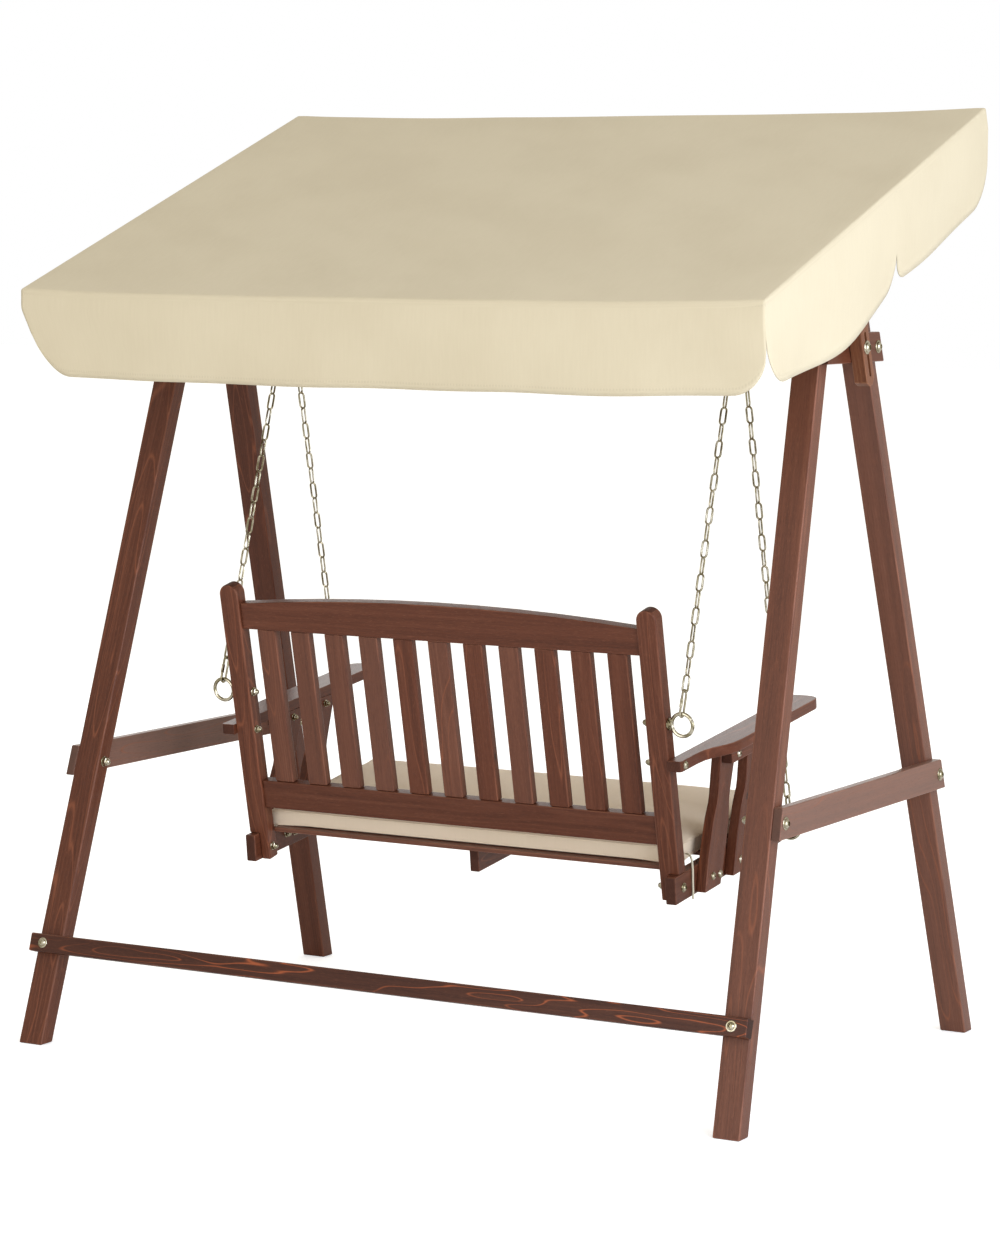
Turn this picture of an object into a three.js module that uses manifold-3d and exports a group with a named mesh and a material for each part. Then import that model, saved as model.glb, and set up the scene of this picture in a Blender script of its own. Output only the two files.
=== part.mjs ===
// Patio swing: two-seat slatted bench hung on four chains from a timber A-frame with a tilting canopy.
// Units are millimetres. +Z is up, the front of the seat faces -Y, and the origin is on the floor
// in the middle of the feet. Left and right are as seen from the front, so left is -X.

import * as THREE from 'three';
import { mergeVertices } from 'three/addons/utils/BufferGeometryUtils.js';
import Module from 'manifold-3d';

const wasm = await Module();
wasm.setup();

// Fits shared by all pieces
const seatGap = 0.3;
const cutOverrun = 5;
const boltSides = 10;
const mergeDistance = 0.0001;

// Stand: legs
const footHalfWidth = 872;
const footHalfDepth = 601;
const legTopZ = 1770;
const legWidth = 60;
const legDepth = 42;
const legTopHalfGap = 19;
const legLeanIn = 74;

// Stand: boards that tie the legs together
const stretcherThickness = 20;
const stretcherHeight = 64;
const stretcherLowZ = 570;
const collarThickness = 20;
const collarHeight = 62;
const collarDrop = 203;
const footRailEndInset = 4;
const footRailThickness = 28;
const footRailWidth = 40;
const footRailZ = 211;

// Stand: ridge beam and its two hanging eyes
const ridgeDrop = 10;
const ridgeHeight = 60;
const ridgeEndInset = 2;
const hangHalfWidth = 558;
const ringOuterRadius = 28;
const ringWire = 8;
const eyeShankRadius = 5;
const eyeWasherRadius = 13;
const eyeWasherThickness = 3;
const domeNutRadius = 9;
const domeNutHeight = 13;

// Canopy: pivot, masts and frame
const pivotY = 19;
const pivotRise = 33;
const canopyTilt = THREE.MathUtils.degToRad(20);
const mastWidth = 30;
const mastDepth = 38;
const mastTail = 84;
const mastChamfer = 12;
const slotBelow = 64;
const slotAbove = 34;
const clampShankRadius = 4;
const clampWasherRadius = 11;
const clampWasherThickness = 2;
const clampNutRadius = 8;
const clampNutHeight = 10;
const rafterWidth = 20.7;
const canopyHeight = 282;
const canopyReachBack = 473;
const canopyReachFront = 707;
const rafterDepth = 30;
const canopyRailDepth = 26;
const canopyRailThickness = 24;

// Canopy: cloth cover
const clothThickness = 2;
const clothSag = 14;
const edgeSag = 9;
const railEase = 2;
const mastEase = 3;
const valanceDrop = 184;
const valanceWave = 5;
const valanceCornerRadius = 62;
const valanceSewnDrop = 108;
const sideDrop = 198;
const rearBelly = 40;
const frontBelly = 8;
const sideSlitDepth = 66;
const sideSlitRadius = 44;
const sideSlitShare = 0.56;
const clothEase = 1;

// Bench: tilt and place of the side rails' lower rear corner
const benchTilt = THREE.MathUtils.degToRad(6.95);
const benchRearY = 209.6;
const benchRearZ = 375.4;
const benchHalfWidth = 533;
const sideRailThickness = 24;
const sideRailHeight = 60;
const sideRailLength = 522;
const middleRailThickness = 22;
const middleRailSetback = 88;

// Bench: back posts, rails and slats
const postLean = THREE.MathUtils.degToRad(5.65);
const postWidth = 46;
const postDepth = 33;
const postLength = 638;
const postSetback = 25;
const backRailThickness = 26;
const backRailRecess = 7;
const topRailLow = 537;
const topRailEndHeight = 58;
const topRailRise = 23;
const lowRailLow = 121;
const lowRailHeight = 64;
const backSlatCount = 11;
const backSlatPitch = 86;
const backSlatWidth = 46.5;
const backSlatThickness = 20;
const backSlatRecess = 10;

// Bench: seat slats and cushion
const seatSlatCount = 4;
const seatSlatThickness = 10;
const seatSlatGap = 14;
const seatRearSetback = 44;
const seatPostEase = 2;
const seatFrontOverhang = 10;
const cushionHalfWidth = 515;
const cushionRearSetback = 57;
const cushionDepth = 471;
const cushionEdgeHeight = 38;
const cushionCrown = 11;
const cushionCornerRadius = 34;
const cushionDrawIn = 7;
const cushionSeamInset = 4;

// Bench: armrests with their battens
const armTop = 315;
const armThickness = 23;
const armRearOverhang = 15;
const armReach = 602;
const armRearWidth = 33;
const armFrontWidth = 69;
const armFlareStart = 62;
const armFlareEnd = 202;
const armFrontRadius = 34;
const armRearRadius = 10;
const armHoleRadius = 15;
const battenThickness = 24;
const battenHeight = 31;
const battenRear = 193;
const battenFront = 412;

// Bench: shaped uprights under the armrests
const uprightThickness = 23.5;
const uprightFoot = 4;
const uprightPitch = 136;
const uprightRear = 92;
const uprightWidth = 73;
const uprightSweep = 105;
// Each edge of an upright, from foot to top: how far forward it has swept, and how high it is
const uprightRearShares = [
  [0, 0],
  [0.23, 0.27],
  [0.39, 0.41],
  [0.53, 0.52],
  [0.72, 0.63],
  [0.83, 0.78],
  [1, 1],
];
const uprightFrontShares = [
  [0, 0],
  [0.23, 0.2],
  [0.44, 0.4],
  [0.51, 0.51],
  [0.56, 0.61],
  [0.69, 0.73],
  [1.02, 1],
];

// Bench: eye bolts that carry the chains
const rearEyeHeight = 390;
const frontEyeHeight = 40;
const frontEyeSetback = 499;

// Chains and connecting links
const chainWire = 4.5;
const chainLinkWidth = 17;
const chainPitch = 35;
const linkBite = 0.25;
const hookBite = 0.6;
const quickWire = 5;
const quickWidth = 22;
const quickTopLength = 50;
const quickLowLength = 62;

// Cushion ties: points of the right-hand one in the bench's frame, from the cushion downwards
const tieRadius = 1.6;
const tieRoute = [
  [513.6, -93, 88],
  [522, -89, 88],
  [531, -82, 82],
  [535.2, -77, 60],
  [534.9, -76, 28],
  [535.4, -74, 4],
  [537, -70, -16],
];

// Fineness of round and soft forms
const postTopSteps = 10;
const topRailSteps = 20;
const armrestSteps = 6;
const armHoleSides = 16;
const uprightSteps = 2;
const slotSteps = 4;
const ringSides = 6;
const ringSteps = 14;
const linkSides = 4;
const linkSteps = 8;
const coverAcross = 20;
const coverAlong = 14;
const coverRows = 4;
const cushionAcross = 24;
const cushionAlong = 14;
const tieSides = 8;
const tieSteps = 10;

// Finishes
const timber = () => new THREE.MeshStandardMaterial({ color: 0x5a3328, roughness: 0.62, metalness: 0 });
const zinc = () => new THREE.MeshStandardMaterial({ color: 0xb9ad84, roughness: 0.32, metalness: 0.9 });
const cloth = () => new THREE.MeshStandardMaterial({ color: 0xd8ccab, roughness: 0.92, metalness: 0 });

// Turning shapes into solids

function solidOf(geometry) {
  const plain = geometry.clone();
  plain.deleteAttribute('normal');
  plain.deleteAttribute('uv');
  const merged = mergeVertices(plain, mergeDistance);
  const mesh = new wasm.Mesh({
    numProp: 3,
    vertProperties: new Float32Array(merged.attributes.position.array),
    triVerts: new Uint32Array(merged.index.array),
  });
  return new wasm.Manifold(mesh);
}

function geometryOf(solid) {
  const mesh = solid.getMesh();
  const geometry = new THREE.BufferGeometry();
  geometry.setAttribute('position', new THREE.BufferAttribute(new Float32Array(mesh.vertProperties), 3));
  geometry.setIndex(new THREE.BufferAttribute(new Uint32Array(mesh.triVerts), 1));
  geometry.computeVertexNormals();
  return geometry;
}

function joined(geometries) {
  let whole = solidOf(geometries[0]);
  for (const geometry of geometries.slice(1)) {
    whole = whole.add(solidOf(geometry));
  }
  return geometryOf(whole);
}

function cut(geometry, cutters) {
  let rest = solidOf(geometry);
  for (const cutter of cutters) {
    rest = rest.subtract(solidOf(cutter));
  }
  return geometryOf(rest);
}

// A copy of a right-hand piece for either side: side is 1 on the right and -1 on the left.
function onSide(geometry, side) {
  const copy = geometry.clone();
  if (side > 0) {
    return copy;
  }
  const plain = copy.index ? copy.toNonIndexed() : copy;
  plain.applyMatrix4(new THREE.Matrix4().makeScale(-1, 1, 1));
  const position = plain.attributes.position;
  for (let i = 0; i < position.count; i += 3) {
    const a = new THREE.Vector3().fromBufferAttribute(position, i);
    const b = new THREE.Vector3().fromBufferAttribute(position, i + 1);
    position.setXYZ(i, b.x, b.y, b.z);
    position.setXYZ(i + 1, a.x, a.y, a.z);
  }
  plain.computeVertexNormals();
  return plain;
}

// Boards cut to an outline

function shapeOf(points) {
  return new THREE.Shape(points.map(([x, y]) => new THREE.Vector2(x, y)));
}

function extruded(shape, thickness, curveSegments = 1) {
  return new THREE.ExtrudeGeometry(shape, { depth: thickness, bevelEnabled: false, curveSegments });
}

// Outline in Y and Z, thickness along +X from the given x.
function sideBoard(shape, x, thickness, curveSegments) {
  const geometry = extruded(shape, thickness, curveSegments);
  const axes = new THREE.Matrix4().makeBasis(
    new THREE.Vector3(0, 1, 0),
    new THREE.Vector3(0, 0, 1),
    new THREE.Vector3(1, 0, 0),
  );
  geometry.applyMatrix4(axes);
  geometry.translate(x, 0, 0);
  return geometry;
}

// Outline in X and Z, with its rear face at the given y and its thickness towards the front.
function faceBoard(shape, y, thickness, curveSegments) {
  const geometry = extruded(shape, thickness, curveSegments);
  const axes = new THREE.Matrix4().makeBasis(
    new THREE.Vector3(1, 0, 0),
    new THREE.Vector3(0, 0, 1),
    new THREE.Vector3(0, -1, 0),
  );
  geometry.applyMatrix4(axes);
  geometry.translate(0, y, 0);
  return geometry;
}

// Outline in X and Y, with its underside at the given z.
function flatBoard(shape, z, thickness, curveSegments) {
  const geometry = extruded(shape, thickness, curveSegments);
  geometry.translate(0, 0, z);
  return geometry;
}

function block(x0, x1, y0, y1, z0, z1) {
  const geometry = new THREE.BoxGeometry(x1 - x0, y1 - y0, z1 - z0);
  geometry.translate((x0 + x1) / 2, (y0 + y1) / 2, (z0 + z1) / 2);
  return geometry;
}

// A round cutter or pin along X, whose flats keep the full radius when it cuts a hole.
function pinAlongX(radius, x0, x1, y, z) {
  const geometry = new THREE.CylinderGeometry(radius, radius, x1 - x0, boltSides);
  geometry.rotateZ(-Math.PI / 2);
  geometry.translate((x0 + x1) / 2, y, z);
  return geometry;
}

function boreRadius(radius) {
  return (radius + seatGap) / Math.cos(Math.PI / boltSides);
}

// A turned piece whose axis is X: the profile lists [distance along X, radius].
function turnedAlongX(profile) {
  const points = profile.map(([x, r]) => new THREE.Vector2(r, x));
  const geometry = new THREE.LatheGeometry(points, boltSides);
  geometry.rotateZ(-Math.PI / 2);
  return geometry;
}

const root = new THREE.Group();

function addPiece(parent, name, geometry, finish) {
  const mesh = new THREE.Mesh(geometry, finish());
  mesh.name = name;
  parent.add(mesh);
  return mesh;
}

const sides = [
  ['left', -1],
  ['right', 1],
];

// Stand

const legSlope = (footHalfDepth - legDepth - legTopHalfGap) / legTopZ;
const leanSlope = legLeanIn / legTopZ;
const collarLowZ = legTopZ - collarDrop - collarHeight;
const pivotZ = collarLowZ + pivotRise;
const legAngle = Math.atan(legSlope);

function legOuterY(z) {
  return footHalfDepth - legSlope * z;
}

function legInnerY(z) {
  return legOuterY(z) - legDepth;
}

function legOuterX(z) {
  return footHalfWidth - leanSlope * z;
}

// Leans a piece of the side frame inwards, as the legs lean.
function leanedIn(geometry) {
  const shear = new THREE.Matrix4().set(1, 0, -leanSlope, 0, 0, 1, 0, 0, 0, 0, 1, 0, 0, 0, 0, 1);
  geometry.applyMatrix4(shear);
  return geometry;
}

function legGeometry(facing) {
  const outline = [
    [facing * legOuterY(0), 0],
    [facing * legOuterY(legTopZ), legTopZ],
    [facing * legInnerY(legTopZ), legTopZ],
    [facing * legInnerY(0), 0],
  ];
  return leanedIn(sideBoard(shapeOf(outline), footHalfWidth - legWidth, legWidth));
}

// A board across the outer faces of two legs, its ends cut in line with their edges.
function tieBoard(lowZ, height, thickness) {
  const highZ = lowZ + height;
  const outline = [
    [-legOuterY(lowZ), lowZ],
    [legOuterY(lowZ), lowZ],
    [legOuterY(highZ), highZ],
    [-legOuterY(highZ), highZ],
  ];
  return leanedIn(sideBoard(shapeOf(outline), footHalfWidth + seatGap, thickness));
}

function addStand() {
  const stand = new THREE.Group();
  root.add(stand);
  for (const [sideName, side] of sides) {
    addPiece(stand, `leg_front_${sideName}`, onSide(legGeometry(-1), side), timber);
    addPiece(stand, `leg_back_${sideName}`, onSide(legGeometry(1), side), timber);
    const stretcher = tieBoard(stretcherLowZ, stretcherHeight, stretcherThickness);
    addPiece(stand, `side_stretcher_${sideName}`, onSide(stretcher, side), timber);
    const bore = pinAlongX(
      boreRadius(clampShankRadius),
      legOuterX(legTopZ) - cutOverrun,
      footHalfWidth,
      pivotY,
      pivotZ,
    );
    const collar = cut(tieBoard(collarLowZ, collarHeight, collarThickness), [bore]);
    addPiece(stand, `collar_plate_${sideName}`, onSide(collar, side), timber);
  }
  const railLength = 2 * (footHalfWidth - footRailEndInset);
  const rail = new THREE.BoxGeometry(railLength, footRailThickness, footRailWidth);
  const footRail = addPiece(stand, 'foot_rail_back', rail, timber);
  const railStandOff = footRailThickness / 2 + seatGap;
  footRail.rotation.x = legAngle;
  footRail.position.set(
    0,
    legOuterY(footRailZ) + railStandOff * Math.cos(legAngle),
    footRailZ + railStandOff * Math.sin(legAngle),
  );
  addRidge(stand);
}

const ridgeTopZ = legTopZ - ridgeDrop;
const ridgeLowZ = ridgeTopZ - ridgeHeight;
const ringRadius = ringOuterRadius - ringWire / 2;
const ridgeRingZ = ridgeLowZ - eyeWasherThickness - ringOuterRadius;
const hangZ = ridgeRingZ - ringRadius;

// The beam's sloping sides bear on the inner edges of the legs, and two eyes hang under it.
function addRidge(stand) {
  const halfLow = legInnerY(ridgeLowZ) - seatGap;
  const halfTop = legInnerY(ridgeTopZ) - seatGap;
  const halfLength = legOuterX(ridgeTopZ) - ridgeEndInset;
  const outline = [
    [-halfLow, ridgeLowZ],
    [halfLow, ridgeLowZ],
    [halfTop, ridgeTopZ],
    [-halfTop, ridgeTopZ],
  ];
  let beam = sideBoard(shapeOf(outline), -halfLength, 2 * halfLength);
  const cutters = [];
  for (const [, side] of sides) {
    const bore = new THREE.CylinderGeometry(
      boreRadius(eyeShankRadius),
      boreRadius(eyeShankRadius),
      ridgeHeight + 2 * cutOverrun,
      boltSides,
    );
    bore.rotateX(Math.PI / 2);
    bore.translate(side * hangHalfWidth, 0, (ridgeLowZ + ridgeTopZ) / 2);
    cutters.push(bore);
  }
  beam = cut(beam, cutters);
  addPiece(stand, 'ridge_beam', beam, timber);
  for (const [sideName, side] of sides) {
    const eye = eyeBolt(ridgeHeight);
    const mesh = addPiece(stand, `ridge_eye_${sideName}`, eye, zinc);
    mesh.rotation.y = -Math.PI / 2;
    mesh.position.set(side * hangHalfWidth, 0, ridgeRingZ);
  }
}

// Eye bolt along +X: ring in the XZ plane round the origin, flange washer, shank and dome nut.
// The shank passes through timber of the given thickness.
function eyeBolt(thickness) {
  const ring = new THREE.TorusGeometry(ringRadius, ringWire / 2, ringSides, ringSteps);
  ring.rotateX(Math.PI / 2);
  const washerX = ringOuterRadius;
  const faceX = washerX + eyeWasherThickness - seatGap;
  const nutX = faceX + 2 * seatGap + thickness;
  const bolt = turnedAlongX([
    [ringRadius, 0],
    [ringRadius, eyeShankRadius],
    [washerX, eyeShankRadius],
    [washerX, eyeWasherRadius],
    [faceX, eyeWasherRadius],
    [faceX, eyeShankRadius],
    [nutX, eyeShankRadius],
    [nutX, eyeWasherRadius],
    [nutX + eyeWasherThickness / 2, eyeWasherRadius],
    [nutX + eyeWasherThickness / 2, domeNutRadius],
    [nutX + domeNutHeight / 2, domeNutRadius],
    [nutX + domeNutHeight, domeNutRadius / 2],
    [nutX + domeNutHeight, 0],
  ]);
  return joined([ring, bolt]);
}

// Canopy

const collarOuterX = legOuterX(collarLowZ) + seatGap + collarThickness;
const mastInnerX = collarOuterX + seatGap;
const mastOuterX = mastInnerX + mastWidth;
const rafterInnerX = mastOuterX + seatGap;
const rafterOuterX = rafterInnerX + rafterWidth;
const canopyHalfWidth = rafterOuterX + seatGap + clothThickness;
const rafterTop = canopyHeight - clothThickness - seatGap;

function clampBolt() {
  const plateInnerX = legOuterX(pivotZ + clampWasherRadius) - seatGap;
  const headX = plateInnerX - clampWasherThickness;
  const nutX = mastOuterX + seatGap + clampWasherThickness;
  return turnedAlongX([
    [headX - clampNutHeight, 0],
    [headX - clampNutHeight, clampNutRadius],
    [headX, clampNutRadius],
    [headX, clampWasherRadius],
    [plateInnerX, clampWasherRadius],
    [plateInnerX, clampShankRadius],
    [mastOuterX + seatGap, clampShankRadius],
    [mastOuterX + seatGap, clampWasherRadius],
    [nutX, clampWasherRadius],
    [nutX, clampNutRadius],
    [nutX + clampNutHeight / 2, clampNutRadius],
    [nutX + clampNutHeight, clampNutRadius / 2],
    [nutX + clampNutHeight, 0],
  ]);
}

function mastGeometry() {
  const half = mastDepth / 2;
  const outline = [
    [-half, rafterTop - mastEase],
    [-half, mastChamfer - mastTail],
    [mastChamfer - half, -mastTail],
    [half - mastChamfer, -mastTail],
    [half, mastChamfer - mastTail],
    [half, rafterTop - mastEase],
  ];
  const slotRadius = boreRadius(clampShankRadius);
  const slot = new THREE.Shape();
  slot.absarc(0, slotAbove - slotRadius, slotRadius, 0, Math.PI, false);
  slot.absarc(0, slotRadius - slotBelow, slotRadius, Math.PI, 2 * Math.PI, false);
  const cutter = sideBoard(slot, mastInnerX - cutOverrun, mastWidth + 2 * cutOverrun, slotSteps);
  return cut(sideBoard(shapeOf(outline.reverse()), mastInnerX, mastWidth), [cutter]);
}

function addCanopy() {
  const bolts = new THREE.Group();
  bolts.position.set(0, pivotY, pivotZ);
  root.add(bolts);
  const canopy = new THREE.Group();
  canopy.position.set(0, pivotY, pivotZ);
  canopy.rotation.x = -canopyTilt;
  root.add(canopy);
  const frameBack = canopyReachBack - clothThickness - seatGap;
  const frameFront = canopyReachFront - clothThickness - seatGap;
  for (const [sideName, side] of sides) {
    addPiece(bolts, `clamp_bolt_${sideName}`, onSide(clampBolt(), side), zinc);
    addPiece(canopy, `canopy_mast_${sideName}`, onSide(mastGeometry(), side), timber);
    const rafterLow = rafterTop - rafterDepth;
    const rafter = block(rafterInnerX, rafterOuterX, -frameFront, frameBack, rafterLow, rafterTop);
    addPiece(canopy, `canopy_rafter_${sideName}`, onSide(rafter, side), timber);
  }
  const railHalf = rafterInnerX - seatGap;
  const railTop = rafterTop - edgeSag - railEase;
  const railLow = railTop - canopyRailDepth;
  const backRail = block(-railHalf, railHalf, frameBack - canopyRailThickness, frameBack, railLow, railTop);
  addPiece(canopy, 'canopy_rail_back', backRail, timber);
  const frontRailBack = canopyRailThickness - frameFront;
  const frontRail = block(-railHalf, railHalf, -frameFront, frontRailBack, railLow, railTop);
  addPiece(canopy, 'canopy_rail_front', frontRail, timber);
  addPiece(canopy, 'canopy_cover', coverGeometry(), cloth);
}

// Places along an edge from -1 to 1, closer together near both ends.
function endSpacedShares(count) {
  const endAngleShare = 0.9;
  const shares = [];
  for (let i = 0; i <= count; i += 1) {
    const t = (2 * i) / count - 1;
    shares.push(Math.sin((t * endAngleShare * Math.PI) / 2) / Math.sin((endAngleShare * Math.PI) / 2));
  }
  return shares;
}

// Cover: a sagging top sheet with a hanging flap on each edge, sewn together at the corners.
function coverGeometry() {
  const across = endSpacedShares(coverAcross);
  const along = endSpacedShares(coverAlong);
  const rows = coverRows;
  const points = [];
  const quads = [];
  const placeAlong = [];
  const halfX = canopyHalfWidth - clothThickness / 2;
  const midY = (canopyReachBack - canopyReachFront) / 2;
  const halfY = (canopyReachBack + canopyReachFront) / 2 - clothThickness / 2;
  const topZ = canopyHeight - clothThickness / 2;

  function topPoint(u, v) {
    const reach = Math.min((Math.abs(u) * halfX) / rafterInnerX, 1);
    const spanSag = clothSag * (1 - reach * reach) * (1 - v * v);
    const endSag = edgeSag * (1 - reach * reach) * v * v;
    return new THREE.Vector3(u * halfX, midY + v * halfY, topZ - spanSag - endSag);
  }

  const plumb = new THREE.Vector3(0, Math.sin(canopyTilt), -Math.cos(canopyTilt));
  const square = new THREE.Vector3(0, 0, -1);
  const firstFall = valanceDrop / rows;

  // The cloth follows the frame's face at first, most of all at the front, and then hangs plumb.
  function hang(v, fall) {
    const first = Math.min(fall, firstFall);
    const start = plumb.clone().lerp(square, (1 - v) / 2).normalize();
    return start.multiplyScalar(first).addScaledVector(plumb, fall - first);
  }

  // Lift of a flap's lower edge beside a corner or a slit: a quarter of an ellipse.
  function lobeLift(distance, radius, depth) {
    if (distance >= radius) {
      return 0;
    }
    return depth * (1 - Math.sqrt(1 - (1 - distance / radius) ** 2));
  }

  function endDrop(run, length) {
    const endLift = lobeLift(Math.min(run, length - run), valanceCornerRadius, valanceDrop - valanceSewnDrop);
    return valanceDrop - endLift;
  }

  // A side flap is deeper than the others, hangs in a belly behind its slit, and is sewn at both ends.
  function sideFlapDrop(run, length, fromBack) {
    const place = fromBack ? run : length - run;
    const slit = length * sideSlitShare;
    const isRear = place < slit;
    const lobeShare = isRear ? place / slit : (length - place) / (length - slit);
    const belly = (isRear ? rearBelly : frontBelly) * Math.sin(Math.PI * lobeShare);
    const endLift = lobeLift(Math.min(run, length - run), valanceCornerRadius, sideDrop - valanceSewnDrop);
    const slitLift = lobeLift(Math.abs(place - slit), sideSlitRadius, sideSlitDepth);
    return sideDrop + belly - endLift - slitLift;
  }

  const topIndex = across.map(() => []);
  across.forEach((u, i) => {
    along.forEach((v, j) => {
      topIndex[i].push(points.length);
      points.push(topPoint(u, v));
      placeAlong.push(v);
    });
  });
  for (let i = 0; i + 1 < across.length; i += 1) {
    for (let j = 0; j + 1 < along.length; j += 1) {
      quads.push([topIndex[i][j], topIndex[i + 1][j], topIndex[i + 1][j + 1], topIndex[i][j + 1]]);
    }
  }

  const sewn = new Map();
  const sewnRows = Math.round((rows * valanceSewnDrop) / valanceDrop);

  // One flap: its upper edge is a run of top points, listed anticlockwise as seen from above.
  function addFlap(edge, outward, dropAt) {
    const grid = [];
    const start = points[edge[0]];
    const length = points[edge[edge.length - 1]].distanceTo(start);
    const waves = Math.round(length / (2 * valanceDrop));
    edge.forEach((topVertex, i) => {
      const column = [topVertex];
      const base = points[topVertex];
      const run = base.distanceTo(start);
      const drop = dropAt(run, length);
      const isEnd = i === 0 || i === edge.length - 1;
      for (let row = 1; row <= rows; row += 1) {
        const key = `${topVertex}:${row}`;
        if (isEnd && row <= sewnRows && sewn.has(key)) {
          column.push(sewn.get(key));
          continue;
        }
        const share = row / rows;
        const sewnFall = firstFall + ((valanceSewnDrop - firstFall) * (row - 1)) / (sewnRows - 1);
        const fall = isEnd && row <= sewnRows ? sewnFall : drop * share;
        const free = (row - 1) / (rows - 1);
        const wave = valanceWave * free * Math.sin((Math.PI * waves * run) / length) ** 2;
        const point = base.clone().add(hang(placeAlong[topVertex], fall));
        point.addScaledVector(outward, -wave - (isEnd ? clothEase * free : 0));
        column.push(points.length);
        if (isEnd && row <= sewnRows) {
          sewn.set(key, points.length);
        }
        points.push(point);
      }
      grid.push(column);
    });
    for (let i = 0; i + 1 < grid.length; i += 1) {
      for (let row = 0; row < rows; row += 1) {
        quads.push([grid[i][row], grid[i][row + 1], grid[i + 1][row + 1], grid[i + 1][row]]);
      }
    }
  }

  const lastU = across.length - 1;
  const lastV = along.length - 1;
  const towardsBack = (run, length) => sideFlapDrop(run, length, false);
  const fromTheBack = (run, length) => sideFlapDrop(run, length, true);
  addFlap(across.map((_, i) => topIndex[i][0]), new THREE.Vector3(0, -1, 0), endDrop);
  addFlap(along.map((_, j) => topIndex[lastU][j]), new THREE.Vector3(1, 0, 0), towardsBack);
  addFlap(across.map((_, i) => topIndex[lastU - i][lastV]), new THREE.Vector3(0, 1, 0), endDrop);
  addFlap(along.map((_, j) => topIndex[0][lastV - j]), new THREE.Vector3(-1, 0, 0), fromTheBack);
  return thickened(points, quads, clothThickness);
}

// A closed sheet of even thickness round a surface of quads.
function thickened(points, quads, thickness) {
  const normals = points.map(() => new THREE.Vector3());
  const triangles = [];
  for (const [a, b, c, d] of quads) {
    triangles.push([a, b, c], [a, c, d]);
  }
  for (const triangle of triangles) {
    const [p, q, r] = triangle.map((index) => points[index]);
    const normal = q.clone().sub(p).cross(r.clone().sub(p)).normalize();
    triangle.forEach((index) => normals[index].add(normal));
  }
  const position = [];
  for (const side of [1, -1]) {
    points.forEach((point, i) => {
      const moved = point.clone().addScaledVector(normals[i].clone().normalize(), (side * thickness) / 2);
      position.push(moved.x, moved.y, moved.z);
    });
  }
  const count = points.length;
  const index = [];
  const edges = new Map();
  for (const [a, b, c] of triangles) {
    index.push(a, b, c, a + count, c + count, b + count);
    for (const [from, to] of [[a, b], [b, c], [c, a]]) {
      edges.set(`${from},${to}`, [from, to]);
    }
  }
  for (const [from, to] of edges.values()) {
    if (!edges.has(`${to},${from}`)) {
      index.push(to, from, from + count, to, from + count, to + count);
    }
  }
  const geometry = new THREE.BufferGeometry();
  geometry.setAttribute('position', new THREE.BufferAttribute(new Float32Array(position), 3));
  geometry.setIndex(index);
  geometry.computeVertexNormals();
  return geometry;
}

// Bench

const bench = new THREE.Group();
bench.position.set(0, benchRearY, benchRearZ);
bench.rotation.x = -benchTilt;
root.add(bench);
const back = new THREE.Group();
back.position.set(0, -postSetback, 0);
back.rotation.x = -postLean;
bench.add(back);

// Place in the bench's own frame of a point given in the back's frame.
function fromBack(x, y, z) {
  return new THREE.Vector3(x, y, z).applyAxisAngle(new THREE.Vector3(1, 0, 0), -postLean).add(back.position);
}

function fromBench(point) {
  return point.clone().applyAxisAngle(new THREE.Vector3(1, 0, 0), -benchTilt).add(bench.position);
}

const railInnerX = benchHalfWidth - sideRailThickness;
const postInnerX = benchHalfWidth - postWidth;
const seatTop = sideRailHeight + seatGap + seatSlatThickness;
const rearEyePost = (rearEyeHeight - Math.sin(postLean) * postSetback) / Math.cos(postLean);
const postMidY = -postDepth / 2;

function postGeometry() {
  const radius = postWidth / 2;
  const shape = new THREE.Shape();
  shape.moveTo(postInnerX, 0);
  shape.lineTo(benchHalfWidth, 0);
  shape.lineTo(benchHalfWidth, postLength - radius);
  shape.absarc(benchHalfWidth - radius, postLength - radius, radius, 0, Math.PI, false);
  const post = faceBoard(shape, 0, postDepth, postTopSteps);
  const rebate = block(
    railInnerX - seatGap,
    benchHalfWidth + cutOverrun,
    -2 * postDepth,
    postDepth,
    -postDepth,
    sideRailHeight + seatGap,
  );
  rebate.translate(0, postSetback, 0);
  rebate.rotateX(postLean);
  const bore = pinAlongX(
    boreRadius(eyeShankRadius),
    postInnerX - cutOverrun,
    benchHalfWidth + cutOverrun,
    postMidY,
    rearEyePost,
  );
  return cut(post, [rebate, bore]);
}

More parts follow.
